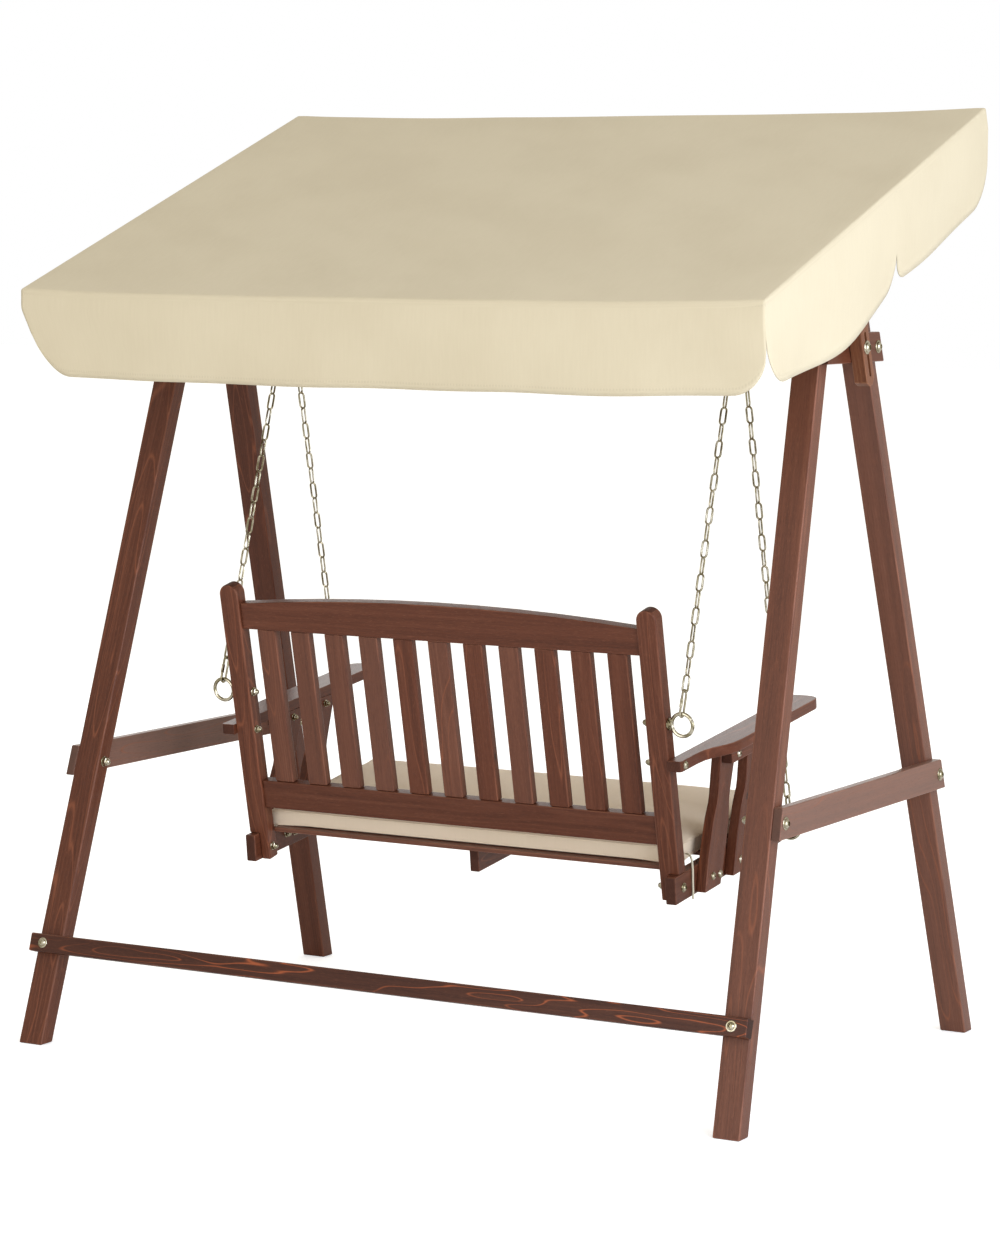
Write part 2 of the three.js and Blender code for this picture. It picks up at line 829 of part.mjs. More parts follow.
function addBack() {
  for (const [sideName, side] of sides) {
    addPiece(back, `back_post_${sideName}`, onSide(postGeometry(), side), timber);
  }
  const halfLength = postInnerX - seatGap;
  const top = new THREE.Shape();
  top.moveTo(-halfLength, topRailLow);
  top.lineTo(halfLength, topRailLow);
  const topRailEnd = topRailLow + topRailEndHeight;
  top.lineTo(halfLength, topRailEnd);
  top.quadraticCurveTo(0, topRailEnd + 2 * topRailRise, -halfLength, topRailEnd);
  const topRail = faceBoard(top, -backRailRecess, backRailThickness, topRailSteps);
  addPiece(back, 'back_rail_top', topRail, timber);
  const low = block(
    -halfLength,
    halfLength,
    -backRailRecess - backRailThickness,
    -backRailRecess,
    lowRailLow,
    lowRailLow + lowRailHeight,
  );
  addPiece(back, 'back_rail_low', low, timber);
  const slatLow = lowRailLow + lowRailHeight + seatGap;
  const slatHigh = topRailLow - seatGap;
  for (let i = 0; i < backSlatCount; i += 1) {
    const x = (i - (backSlatCount - 1) / 2) * backSlatPitch;
    const slat = block(
      x - backSlatWidth / 2,
      x + backSlatWidth / 2,
      -backSlatRecess - backSlatThickness,
      -backSlatRecess,
      slatLow,
      slatHigh,
    );
    addPiece(back, `back_slat_${String(i + 1).padStart(2, '0')}`, slat, timber);
  }
}

function addSeat() {
  for (const [sideName, side] of sides) {
    const rail = block(railInnerX, benchHalfWidth, -sideRailLength, 0, 0, sideRailHeight);
    const bore = pinAlongX(
      boreRadius(eyeShankRadius),
      railInnerX - cutOverrun,
      benchHalfWidth + cutOverrun,
      -frontEyeSetback,
      frontEyeHeight,
    );
    addPiece(bench, `side_rail_${sideName}`, onSide(cut(rail, [bore]), side), timber);
  }
  const middle = block(
    -middleRailThickness / 2,
    middleRailThickness / 2,
    -sideRailLength,
    -middleRailSetback,
    0,
    sideRailHeight,
  );
  addPiece(bench, 'middle_rail', middle, timber);
  const slatLow = sideRailHeight + seatGap;
  const postFrontY = fromBack(0, -postDepth, slatLow / Math.cos(postLean)).y;
  const frontY = -sideRailLength - seatFrontOverhang;
  const span = -seatRearSetback - frontY;
  const slatWidth = (span - (seatSlatCount - 1) * seatSlatGap) / seatSlatCount;
  for (let i = 0; i < seatSlatCount; i += 1) {
    const rearY = -seatRearSetback - i * (slatWidth + seatSlatGap);
    const reachesPosts = rearY > postFrontY;
    const halfLength = reachesPosts ? postInnerX - seatPostEase : benchHalfWidth;
    const slat = block(-halfLength, halfLength, rearY - slatWidth, rearY, slatLow, seatTop);
    addPiece(bench, `seat_slat_${i + 1}`, slat, timber);
  }
  addPiece(bench, 'cushion', cushionGeometry(), cloth);
}

// Cushion: a flat underside and a crowned top, seamed to a side band that bulges between them.
function cushionGeometry() {
  const columns = endSpacedShares(cushionAcross);
  const lines = endSpacedShares(cushionAlong);
  const halfY = cushionDepth / 2;
  const midY = -cushionRearSetback - halfY;
  const lowZ = seatTop + seatGap;
  const drawPower = 3;
  const crownPower = 4;
  const bandShares = [0.25, 0.5, 0.75];

  // Place in plan of a point of the rounded rectangle, its sides drawn in between the corners.
  function planPoint(u, v, inset) {
    const drawX = cushionDrawIn * (1 - v * v) * Math.abs(u) ** drawPower;
    const drawY = cushionDrawIn * (1 - u * u) * Math.abs(v) ** drawPower;
    let x = u * (cushionHalfWidth - inset);
    let y = v * (halfY - inset);
    const innerX = cushionHalfWidth - cushionCornerRadius;
    const innerY = halfY - cushionCornerRadius;
    const overX = Math.abs(x) - innerX;
    const overY = Math.abs(y) - innerY;
    if (overX > 0 && overY > 0) {
      const factor = Math.max(overX, overY) / Math.hypot(overX, overY);
      x = Math.sign(x) * (innerX + overX * factor);
      y = Math.sign(y) * (innerY + overY * factor);
    }
    return [x - Math.sign(u) * drawX, midY + y - Math.sign(v) * drawY];
  }

  const position = [];
  const index = [];
  const width = lines.length;
  const height = columns.length;
  for (const isTop of [false, true]) {
    for (const u of columns) {
      for (const v of lines) {
        const crown = cushionCrown * (1 - u ** crownPower) * (1 - v ** crownPower);
        position.push(...planPoint(u, v, cushionSeamInset), isTop ? lowZ + cushionEdgeHeight + crown : lowZ);
      }
    }
  }
  const layerSize = height * width;
  for (let i = 0; i + 1 < height; i += 1) {
    for (let j = 0; j + 1 < width; j += 1) {
      const a = i * width + j;
      const b = a + width;
      index.push(a, b + 1, b, a, a + 1, b + 1);
      const e = a + layerSize;
      const f = b + layerSize;
      index.push(e, f, f + 1, e, f + 1, e + 1);
    }
  }

  // The rim of the grid, anticlockwise as seen from above.
  const rim = [];
  for (let i = 0; i + 1 < height; i += 1) {
    rim.push([i, 0]);
  }
  for (let j = 0; j + 1 < width; j += 1) {
    rim.push([height - 1, j]);
  }
  for (let i = height - 1; i > 0; i -= 1) {
    rim.push([i, width - 1]);
  }
  for (let j = width - 1; j > 0; j -= 1) {
    rim.push([0, j]);
  }
  const loops = [rim.map(([i, j]) => i * width + j)];
  for (const share of bandShares) {
    const bulge = Math.sin(Math.PI * share);
    loops.push(rim.map(([i, j]) => {
      const place = planPoint(columns[i], lines[j], cushionSeamInset * (1 - bulge));
      position.push(...place, lowZ + share * cushionEdgeHeight);
      return position.length / 3 - 1;
    }));
  }
  loops.push(rim.map(([i, j]) => i * width + j + layerSize));
  for (let k = 0; k + 1 < loops.length; k += 1) {
    rim.forEach((_, n) => {
      const next = (n + 1) % rim.length;
      const [a, b, c, d] = [loops[k][n], loops[k][next], loops[k + 1][next], loops[k + 1][n]];
      index.push(a, b, c, a, c, d);
    });
  }
  const geometry = new THREE.BufferGeometry();
  geometry.setAttribute('position', new THREE.BufferAttribute(new Float32Array(position), 3));
  geometry.setIndex(index);
  return geometryOf(solidOf(geometry));
}

// Armrest: straight inside, flaring outwards in front of the post, with a hole for the front chain
// and a batten under it.
function armrestGeometry(holeX, holeY) {
  const inner = benchHalfWidth + seatGap;
  const shape = new THREE.Shape();
  shape.moveTo(inner, armRearOverhang);
  shape.lineTo(inner, -armReach + armFrontRadius / 2);
  shape.quadraticCurveTo(inner, -armReach, inner + armFrontRadius / 2, -armReach);
  shape.lineTo(inner + armFrontWidth - armFrontRadius, -armReach);
  shape.quadraticCurveTo(inner + armFrontWidth, -armReach, inner + armFrontWidth, -armReach + armFrontRadius);
  shape.lineTo(inner + armFrontWidth, -armFlareEnd);
  const midFlare = -(armFlareStart + armFlareEnd) / 2;
  shape.bezierCurveTo(
    inner + armFrontWidth,
    midFlare,
    inner + armRearWidth,
    midFlare,
    inner + armRearWidth,
    -armFlareStart,
  );
  shape.lineTo(inner + armRearWidth, armRearOverhang - armRearRadius);
  shape.quadraticCurveTo(
    inner + armRearWidth,
    armRearOverhang,
    inner + armRearWidth - armRearRadius,
    armRearOverhang,
  );
  const board = flatBoard(shape, armTop - armThickness, armThickness, armrestSteps);
  const drill = armThickness + 2 * cutOverrun;
  const hole = new THREE.CylinderGeometry(armHoleRadius, armHoleRadius, drill, armHoleSides);
  hole.rotateX(Math.PI / 2);
  hole.translate(holeX, holeY, armTop - armThickness / 2);
  const battenX = inner + uprightThickness + seatGap;
  const batten = block(
    battenX,
    battenX + battenThickness,
    -battenFront,
    -battenRear,
    armTop - armThickness - battenHeight,
    armTop - armThickness / 2,
  );
  return joined([cut(board, [hole]), batten]);
}

// Upright: a board with two S-shaped edges, from the side rail's outer face to the armrest.
function uprightGeometry(shift) {
  const rise = armTop - armThickness - seatGap - uprightFoot;
  const rear = -uprightRear - shift;
  const place = (start) => ([forwardShare, heightShare]) => {
    return new THREE.Vector2(start - uprightSweep * forwardShare, uprightFoot + rise * heightShare);
  };
  const rearEdge = uprightRearShares.map(place(rear));
  const frontEdge = uprightFrontShares.map(place(rear - uprightWidth)).reverse();
  const shape = new THREE.Shape();
  shape.moveTo(rearEdge[0].x, rearEdge[0].y);
  shape.splineThru(rearEdge.slice(1));
  shape.lineTo(frontEdge[0].x, frontEdge[0].y);
  shape.splineThru(frontEdge.slice(1));
  return sideBoard(shape, benchHalfWidth + seatGap, uprightThickness, uprightSteps);
}

// Chain routes, worked out from the eyes they hang between

const eyeRingX = benchHalfWidth + ringOuterRadius + eyeWasherThickness;

function rearEyeCentre(side) {
  const point = fromBack(0, postMidY, rearEyePost);
  return new THREE.Vector3(side * eyeRingX, point.y, point.z);
}

function frontEyeCentre(side) {
  return new THREE.Vector3(side * eyeRingX, -frontEyeSetback, frontEyeHeight);
}

// A ring of few sides is drawn a little larger, so that its flats keep the wire's true size.
const stepCosine = Math.cos(Math.PI / linkSteps);

// A long link of round wire: an eight-sided ring drawn out along Z, in the XZ plane.
function linkGeometry(length, width, wire) {
  const straight = length - width;
  const radius = (width - wire) / 2 / stepCosine;
  const ring = new THREE.TorusGeometry(radius, wire / 2 / stepCosine, linkSides, linkSteps);
  ring.rotateZ(Math.PI / linkSteps);
  const position = ring.attributes.position;
  for (let i = 0; i < position.count; i += 1) {
    const shift = position.getY(i) > 0 ? straight / 2 : -straight / 2;
    position.setY(i, position.getY(i) + shift);
  }
  ring.rotateX(Math.PI / 2);
  return ring;
}

// Upper quick link: hangs in the ridge eye and carries both chains of its side.
const quickTopZ = hangZ + ringWire / 2 + seatGap + quickWire - quickTopLength / 2;

const hookShift = (chainWire + seatGap) / 2;
const hookZ = quickTopZ - quickTopLength / 2 + quickWire + chainWire / 2;

// Where a chain's top link rests in the upper quick link; only the rear chain is made in one with it.
function upperHook(side, isRear) {
  const y = isRear ? hookShift : -hookShift;
  const z = isRear ? hookZ - hookBite : hookZ + seatGap;
  return new THREE.Vector3(side * hangHalfWidth, y, z);
}

function upperQuickLink(side) {
  const link = linkGeometry(quickTopLength, quickWidth, quickWire);
  link.rotateZ(Math.PI / 2);
  link.translate(side * hangHalfWidth, 0, quickTopZ);
  return link;
}

// A chain from an eye up to the upper quick link: its lower quick link hooks the eye's ring.
function chainGeometry(eyeCentre, upper) {
  const ringTop = fromBench(eyeCentre).add(
    new THREE.Vector3(0, 0, ringRadius).applyAxisAngle(new THREE.Vector3(1, 0, 0), -benchTilt),
  );
  const direction = upper.clone().sub(ringTop).normalize();
  const turn = new THREE.Quaternion().setFromUnitVectors(new THREE.Vector3(0, 0, 1), direction);
  const quickLow = -ringWire / 2 - 2 * seatGap - quickWire;
  const quick = linkGeometry(quickLowLength, quickWidth, quickWire);
  quick.rotateZ(Math.PI / 2);
  quick.translate(0, 0, quickLow + quickLowLength / 2);
  const pieces = [quick];
  const startInner = quickLow + quickLowLength - quickWire;
  const first = startInner - chainWire + linkBite;
  const total = upper.distanceTo(ringTop) + chainWire / 2 - first;
  const wanted = total - chainWire;
  const count = 2 * Math.round((wanted / chainPitch - 1) / 2) + 1;
  const pitch = wanted / count;
  const length = pitch + chainWire + linkBite;
  for (let i = 0; i < count; i += 1) {
    const link = linkGeometry(length, chainLinkWidth, chainWire);
    if (i % 2 === 1) {
      link.rotateZ(Math.PI / 2);
    }
    link.translate(0, 0, first + i * pitch + length / 2);
    pieces.push(link);
  }
  const chain = joined(pieces);
  chain.applyQuaternion(turn);
  chain.translate(ringTop.x, ringTop.y, ringTop.z);
  return chain;
}

function addArmsAndChains() {
  for (const [sideName, side] of sides) {
    const rearEye = eyeBolt(postWidth);
    const rearMesh = addPiece(bench, `eye_bolt_rear_${sideName}`, rearEye, zinc);
    rearMesh.position.copy(rearEyeCentre(side));
    const frontEye = eyeBolt(sideRailThickness);
    const frontMesh = addPiece(bench, `eye_bolt_front_${sideName}`, frontEye, zinc);
    frontMesh.position.copy(frontEyeCentre(side));
    if (side > 0) {
      rearMesh.rotation.z = Math.PI;
      frontMesh.rotation.z = Math.PI;
    }
    const ringTop = frontEyeCentre(1).add(new THREE.Vector3(0, 0, ringRadius));
    const upper = upperHook(1, false);
    upper.sub(bench.position).applyAxisAngle(new THREE.Vector3(1, 0, 0), benchTilt);
    const share = (armTop - armThickness / 2 - ringTop.z) / (upper.z - ringTop.z);
    const hole = ringTop.clone().lerp(upper, share);
    addPiece(bench, `armrest_${sideName}`, onSide(armrestGeometry(hole.x, hole.y), side), timber);
    addPiece(bench, `upright_rear_${sideName}`, onSide(uprightGeometry(0), side), timber);
    addPiece(bench, `upright_front_${sideName}`, onSide(uprightGeometry(uprightPitch), side), timber);
    const rearChain = [upperQuickLink(side), chainGeometry(rearEyeCentre(side), upperHook(side, true))];
    addPiece(root, `chain_rear_${sideName}`, joined(rearChain), zinc);
    const frontChain = chainGeometry(frontEyeCentre(side), upperHook(side, false));
    addPiece(root, `chain_front_${sideName}`, frontChain, zinc);
  }
}

// Ties: a cord at each rear corner of the cushion, hanging outside the side rail.
function addTies() {
  for (const [sideName, side] of sides) {
    const curve = new THREE.CatmullRomCurve3(tieRoute.map(([x, y, z]) => new THREE.Vector3(side * x, y, z)));
    const section = new THREE.Shape();
    section.absarc(0, 0, tieRadius, 0, 2 * Math.PI, false);
    const tie = new THREE.ExtrudeGeometry(section, {
      steps: tieSteps,
      extrudePath: curve,
      curveSegments: tieSides / 2,
      bevelEnabled: false,
    });
    addPiece(bench, `cushion_tie_${sideName}`, tie, cloth);
  }
}

addStand();
addCanopy();
addBack();
addSeat();
addArmsAndChains();
addTies();

export default root;
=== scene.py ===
# %% [markdown]
# # A patio swing
# A two-seat bench of slats hangs on four chains from a stained timber stand. A cloth canopy
# tilts on two masts above it. The CAD model gives each board, bolt and eye its place, and each
# is rebuilt here with the edges, grain, thread and stitching that a visitor would see close up.
# All lengths are metres, +Z is up, and the front of the seat faces -Y.

# %% Loading the CAD model
import math
import random

import bmesh
import bpy
from mathutils import Matrix, Vector
from mathutils.bvhtree import BVHTree


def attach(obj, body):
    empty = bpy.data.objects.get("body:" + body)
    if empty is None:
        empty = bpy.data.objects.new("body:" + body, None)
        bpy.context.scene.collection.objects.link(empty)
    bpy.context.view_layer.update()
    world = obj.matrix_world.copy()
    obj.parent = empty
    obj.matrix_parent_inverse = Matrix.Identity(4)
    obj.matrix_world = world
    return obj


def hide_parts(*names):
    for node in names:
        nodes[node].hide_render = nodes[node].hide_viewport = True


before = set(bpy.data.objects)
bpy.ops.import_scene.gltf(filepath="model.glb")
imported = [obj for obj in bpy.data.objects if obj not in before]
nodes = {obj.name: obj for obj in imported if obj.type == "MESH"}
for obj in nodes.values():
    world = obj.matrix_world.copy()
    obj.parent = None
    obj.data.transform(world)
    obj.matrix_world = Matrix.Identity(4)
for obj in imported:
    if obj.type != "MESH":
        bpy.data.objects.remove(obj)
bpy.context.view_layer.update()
scene = bpy.context.scene
ops = bmesh.ops


def placed(name, data):
    """A new object in the scene."""
    obj = bpy.data.objects.new(name, data)
    scene.collection.objects.link(obj)
    return obj


def mesh_from(name, bm):
    """The finished bmesh as a mesh."""
    mesh = bpy.data.meshes.new(name)
    bm.to_mesh(mesh)
    bm.free()
    return mesh


# %% [markdown]
# ## The camera
# The feet, the stretchers and the ends of the long boards were matched to their places in the
# picture, and that gave the eye's place, its heading and its long lens. It looks at the back of
# the swing from its left, a little above the armrests.

# %% Camera
EYE = Vector((-3.92699, 7.01761, 1.75978))
YAW, PITCH, ROLL = 2.63037, -0.10474, 0.00655
SENSOR = 36.0  # millimetres, as Blender counts it
FOCAL_SHARE = 3.69776  # focal length over sensor width
FAR_CLIP = 200
UPRIGHT = math.pi / 2  # an unturned camera looks straight down

camera_data = bpy.data.cameras.new("camera")
camera_data.sensor_fit = "HORIZONTAL"
camera_data.sensor_width = SENSOR
camera_data.lens = FOCAL_SHARE * SENSOR
camera_data.clip_end = FAR_CLIP
scene.camera = placed("camera", camera_data)
heading = Matrix.Rotation(-YAW, 4, "Z") @ Matrix.Rotation(UPRIGHT + PITCH, 4, "X")
scene.camera.matrix_world = Matrix.Translation(EYE) @ heading @ Matrix.Rotation(ROLL, 4, "Z")
print("lens", round(camera_data.lens, 1), "mm")

# %% [markdown]
# ## Frames of the turned groups
# The bench leans back a little as it hangs, its back leans further, and the canopy tilts
# towards the rear. Three matrices carry places from each group's own frame to the world, so
# that a bolt can be placed by plain distances along its rail.

# %% Frames
X, Y, Z = Vector((1, 0, 0)), Vector((0, 1, 0)), Vector((0, 0, 1))
BENCH_LEAN, BACK_LEAN, TILT = math.radians(6.95), math.radians(5.65), math.radians(20)
BENCH_ORIGIN, BACK_OFFSET = Vector((0, 0.2096, 0.3754)), Vector((0, -0.025, 0))
PIVOT = Vector((0, 0.019, 1.538))
AT_BENCH = Matrix.Translation(BENCH_ORIGIN) @ Matrix.Rotation(-BENCH_LEAN, 4, "X")
AT_BACK = AT_BENCH @ Matrix.Translation(BACK_OFFSET) @ Matrix.Rotation(-BACK_LEAN, 4, "X")
AT_CANOPY = Matrix.Translation(PIVOT) @ Matrix.Rotation(-TILT, 4, "X")
SIDES = (("left", -1), ("right", 1))
ENDS = (("front", -1), ("back", 1))
print("bench origin", tuple(round(v, 3) for v in AT_BENCH.translation))

# %% [markdown]
# ## Cushion ties
# A thin cotton cord is sewn to each rear corner of the cushion and hangs down outside the side
# rail. A cord is a curve with a round section: the curve's own line is the cord's middle line.

# %% Ties
TIE_RADIUS = 0.0023
TIE_ROUTE = [  # in the bench's frame, on its right side
    (0.5136, -0.093, 0.086), (0.522, -0.089, 0.086), (0.5315, -0.082, 0.080),
    (0.5360, -0.077, 0.060), (0.5356, -0.076, 0.028), (0.5362, -0.074, 0.006),
    (0.5372, -0.071, -0.005),
]


def smooth_route(points, steps=8):
    """Points along a smooth line (a Catmull-Rom spline) through the given ones."""
    ends = [points[0] * 2 - points[1], *points, points[-1] * 2 - points[-2]]
    route = []
    for a, b, c, d in zip(ends, ends[1:], ends[2:], ends[3:]):
        bend, twist = 2 * a - 5 * b + 4 * c - d, 3 * b - a - 3 * c + d
        for t in (step / steps for step in range(steps)):
            route.append(0.5 * (2 * b + (c - a) * t + bend * t**2 + twist * t**3))
    return [*route, points[-1]]


def tube_along(name, route, radius, closed=False):
    """A round cord or wire that follows a route."""
    curve = bpy.data.curves.new(name, "CURVE")
    curve.dimensions = "3D"
    spline = curve.splines.new("POLY")
    spline.points.add(len(route) - 1)
    for point, place in zip(spline.points, route):
        point.co = (*place, 1)
        point.radius = radius
    spline.use_cyclic_u = closed
    curve.bevel_depth = 1.0
    curve.bevel_resolution = 3
    return placed(name, curve)


ties = []
for hand, side in SIDES:
    corners = [AT_BENCH @ Vector((side * x, y, z)) for x, y, z in TIE_ROUTE]
    route = smooth_route(corners)
    tie = tube_along(f"tie_{hand}", route, TIE_RADIUS)
    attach(tie, "bench")
    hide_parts(f"cushion_tie_{hand}")
    ties.append(tie)

# %% [markdown]
# ## Sums in a material
# A material is a tree of nodes. A small class wraps one output of a node, so that plus, minus
# and times build the Math nodes and a pattern reads as one line. Its node method makes every
# other kind: its settings go first, since they decide which inputs there are. The bare numbers
# in a pattern are its own: how fine it is, and where it fades in and out.


# %% Material sums
class Wire:
    """One output of a node in a material, ready for sums."""

    def __init__(self, tree, socket=None):
        self.tree = tree
        self.socket = socket

    def feed(self, slot, value):
        if isinstance(value, Wire):
            self.tree.links.new(value.socket, slot)
        elif slot.type == "RGBA" and len(value) == 3:
            slot.default_value = (*value, 1)
        else:
            slot.default_value = value

    def node(self, kind, inputs, output=0, **settings):
        made = self.tree.nodes.new(kind)
        for name, value in settings.items():
            setattr(made, name, value)
        for name, value in inputs.items():
            self.feed(made.inputs[name], value)
        return Wire(self.tree, made.outputs[output])

    def output(self, name):
        return Wire(self.tree, self.socket.node.outputs[name])

    def maths(self, operation, first, second=0.0):
        return self.node("ShaderNodeMath", {0: first, 1: second}, operation=operation)

    __add__ = __radd__ = lambda self, other: self.maths("ADD", self, other)
    __sub__ = lambda self, other: self.maths("SUBTRACT", self, other)
    __rsub__ = lambda self, other: self.maths("SUBTRACT", other, self)
    __mul__ = __rmul__ = lambda self, other: self.maths("MULTIPLY", self, other)
    __truediv__ = lambda self, other: self.maths("DIVIDE", self, other)
    __pow__ = lambda self, other: self.maths("POWER", self, other)
    __gt__ = lambda self, other: self.maths("GREATER_THAN", self, other)

    def wave(self):
        """Swings between 0 and 1 as the value grows by one."""
        return self.maths("SINE", self * (2 * math.pi)) * 0.5 + 0.5

    def ramp(self, low, high):
        """0 below low, 1 above high, and smooth between them."""
        limits = {"Value": self, "From Min": low, "From Max": high}
        return self.node("ShaderNodeMapRange", limits, interpolation_type="SMOOTHSTEP")

    def vectors(self, operation, second=(0, 0, 0), output=0):
        inputs = {0: self, 1: second}
        return self.node("ShaderNodeVectorMath", inputs, output, operation=operation)

    def scaled(self, x, y, z):
        return self.vectors("MULTIPLY", (x, y, z))

    def noise(self, scale, detail, roughness=0.5):
        inputs = {"Vector": self, "Scale": scale, "Detail": detail, "Roughness": roughness}
        return self.node("ShaderNodeTexNoise", inputs, "Fac")

    def blend(self, first, second):
        """A colour from the first to the second as this value goes from 0 to 1."""
        inputs = {0: self, 6: first, 7: second}
        return self.node("ShaderNodeMix", inputs, 2, data_type="RGBA")


def new_material(name):
    """A material with one Principled shader: gives the material, its shader node and a Wire."""
    material = bpy.data.materials.new(name)
    material.use_nodes = True
    tree = material.node_tree
    shader = tree.nodes["Principled BSDF"]
    return material, shader, Wire(tree)


def attribute(wire, name, output="Fac"):
    return wire.node("ShaderNodeAttribute", {}, output, attribute_name=name)


def finished(shader, wire, colour, roughness, relief, depth, strength):
    """Joins the colour, the roughness and a relief with its depth in metres to the shader."""
    inputs = {"Height": relief, "Distance": depth, "Strength": strength}
    wire.feed(shader.inputs["Base Color"], colour)
    wire.feed(shader.inputs["Roughness"], roughness)
    wire.feed(shader.inputs["Normal"], wire.node("ShaderNodeBump", inputs))


def darker(colour, share):
    return tuple(share * value for value in colour)


print("material sums ready")

# %% [markdown]
# ## Stained timber
# Each board carries its own grain frame: along the board, across it and into it. The distance
# from a made-up heart of the tree gives the year rings, long thin noise gives the streaks and
# fibres, and a few cells of a cell pattern become knots, which push the rings aside. Thin bright
# loops follow a slow noise like the lines of a map. The arrises are paler, partly as stain rubbed
# thin and partly as a painted highlight, and the stain soaks into the end grain, so that is darker.
# Each board has a tone of its own: above 0 it is washed out, below 0 it is deeper. On a few
# listed boards the tone is painted light: a painted sheen on boards the main light falls on, and
# painted shade on boards that stand in shade. The foot rail is darker with bold loops, and the
# two canopy masts are of a warmer, paler timber, whose paleness is partly a painted sheen.


# %% Timber material
KNOT_CELLS_ALONG, KNOT_CELLS_ACROSS = 1.6, 9  # to the metre
KNOT_RIM, KNOT_REACH = (0.0025, 0.0055), 0.011
RING_STEP = 0.0056
# pale colour for a board's tone above 0: on the listed boards a painted sheen
PALE_TONE_AND_SHEEN = (0.40, 0.27, 0.21)


def stained_timber(name, dark, middle, light, glow, loop_share, loop_start, loop_scale):
    """Stained softwood: three tones of grain, and loops of a glowing colour."""
    material, shader, w = new_material(name)
    grain = attribute(w, "grain", "Vector")
    end = attribute(w, "end_grain")
    arris = attribute(w, "arris")
    cells = attribute(w, "face_place", "Vector").scaled(KNOT_CELLS_ALONG, KNOT_CELLS_ACROSS, 0)
    inputs = {"Vector": cells, "Scale": 1}
    spot = w.node("ShaderNodeTexVoronoi", inputs, "Position", voronoi_dimensions="2D")
    apart = cells.vectors("SUBTRACT", spot)
    apart = apart.scaled(0.5 / KNOT_CELLS_ALONG, 1 / KNOT_CELLS_ACROSS, 0)
    away = apart.vectors("LENGTH", output="Value")
    chosen = w.node("ShaderNodeSeparateColor", {"Color": spot.output("Color")}) > 0.8
    knot = (1 - away.ramp(*KNOT_RIM)) * chosen * (1 - end)
    pushed = chosen / (1 + (away / KNOT_REACH) ** 2.0)
    wander = grain.scaled(1.7, 8, 8).noise(1, 3)
    heart = grain.scaled(0, 1, 1).vectors("LENGTH", output="Value")
    rings = ((heart + wander * 0.026 + pushed * 0.012) / RING_STEP).wave() ** 2.6
    clear = grain.scaled(1.1, 14, 14).noise(1, 2).ramp(0.38, 0.66)
    wide = 15 * loop_scale
    slow = grain.scaled(1.9 * loop_scale, wide, wide).noise(1, 1.2, 0.4)
    showing = grain.scaled(0.9, 7, 7).noise(1, 1).ramp(loop_start, loop_start + 0.15)
    loops = ((slow + pushed * 0.1) * 8.5).wave() ** 44.0 * showing
    streaks = grain.scaled(1.2, 60, 60).noise(1, 6, 0.66)
    fibres = grain.scaled(20, 900, 900).noise(1, 4, 0.6)
    pores = grain.scaled(60, 1700, 1700).noise(1, 1).ramp(0.56, 0.74)
    tone = streaks * 0.62 + rings * clear * 0.12 + fibres * 0.34 + 0.02
    # paler arrises: partly stain rubbed thin, partly a painted highlight
    rubbed_and_highlit = arris * grain.scaled(5, 60, 60).noise(1, 3).ramp(0.4, 0.62)
    flecks = grain.scaled(75, 800, 800).noise(1, 2).ramp(0.58, 0.72)
    tone_and_painted_light = attribute(w, "tone_and_painted_light")
    deep = darker(dark, 0.4)
    colour = tone.ramp(0.28, 0.56).blend(dark, middle)
    for share, tint in (
        (tone.ramp(0.5, 0.86) * 0.7, light),
        (rubbed_and_highlit * 0.6, light),
        # the board's tone: on the listed boards painted sheen towards the pale colour and painted
        # shade towards dark
        (tone_and_painted_light * 0.5, PALE_TONE_AND_SHEEN),
        (tone_and_painted_light * -0.8, dark),
        (loops * (1 - end) * loop_share, glow),
        (flecks * 0.3, light),
        (pores * 0.4, deep),
        (knot * 0.8, deep),
        (end * 0.55, deep),
    ):
        colour = share.blend(colour, tint)
    w.feed(shader.inputs["Specular IOR Level"], 0.22)
    relief = fibres * 0.5 + loops * 0.25 + streaks * 0.3 + knot * -0.3 + pores * -0.3
    finished(shader, w, colour, 0.24 + fibres * 0.2 + end * 0.25, relief, 0.0005, 0.5)
    return material


# each timber: its dark, middle and light tone, then its loops' colour, share, start and scale
timber = stained_timber(
    "stained timber",
    (0.056, 0.016, 0.0075), (0.116, 0.0345, 0.0163), (0.245, 0.092, 0.050),
    (0.27, 0.085, 0.039), 0.5, 0.47, 1.0,
)
dark_timber = stained_timber(
    "dark stained timber",
    (0.030, 0.010, 0.006), (0.068, 0.022, 0.012), (0.16, 0.056, 0.028),
    (0.36, 0.088, 0.030), 0.85, 0.33, 1.7,
)
# the masts' warmer, paler colour is partly a painted sheen
pale_mast_timber_and_sheen = stained_timber(
    "warm mast timber with painted sheen",
    (0.085, 0.028, 0.012), (0.185, 0.066, 0.029), (0.34, 0.155, 0.082),
    (0.40, 0.17, 0.08), 0.4, 0.47, 1.0,
)
print("timber materials:", timber.name, dark_timber.name, pale_mast_timber_and_sheen.name)

# %% [markdown]
# ## Metal and cloth
# The bolts, eyes, chains and quick links are yellow zinc, a metal whose colour and shine vary
# a little. The cloth is plain woven: two sets of threads cross, one up where the other is
# down. Its own coordinates are metres on the flat cloth, and a seam value, 1 along each hem,
# presses the cloth in and shows a row of stitches.


# %% Metal material
def zinc(name, colour, tint, roughness):
    material, shader, w = new_material(name)
    place = w.node("ShaderNodeTexCoord", {}, "Object")
    patches = place.noise(55, 2)
    grime = place.noise(600, 2)
    w.feed(shader.inputs["Metallic"], 1.0)
    colour = patches.ramp(0.38, 0.62).blend(colour, tint)
    finished(shader, w, colour, roughness + grime * 0.18, grime, 0.0001, 0.4)
    return material


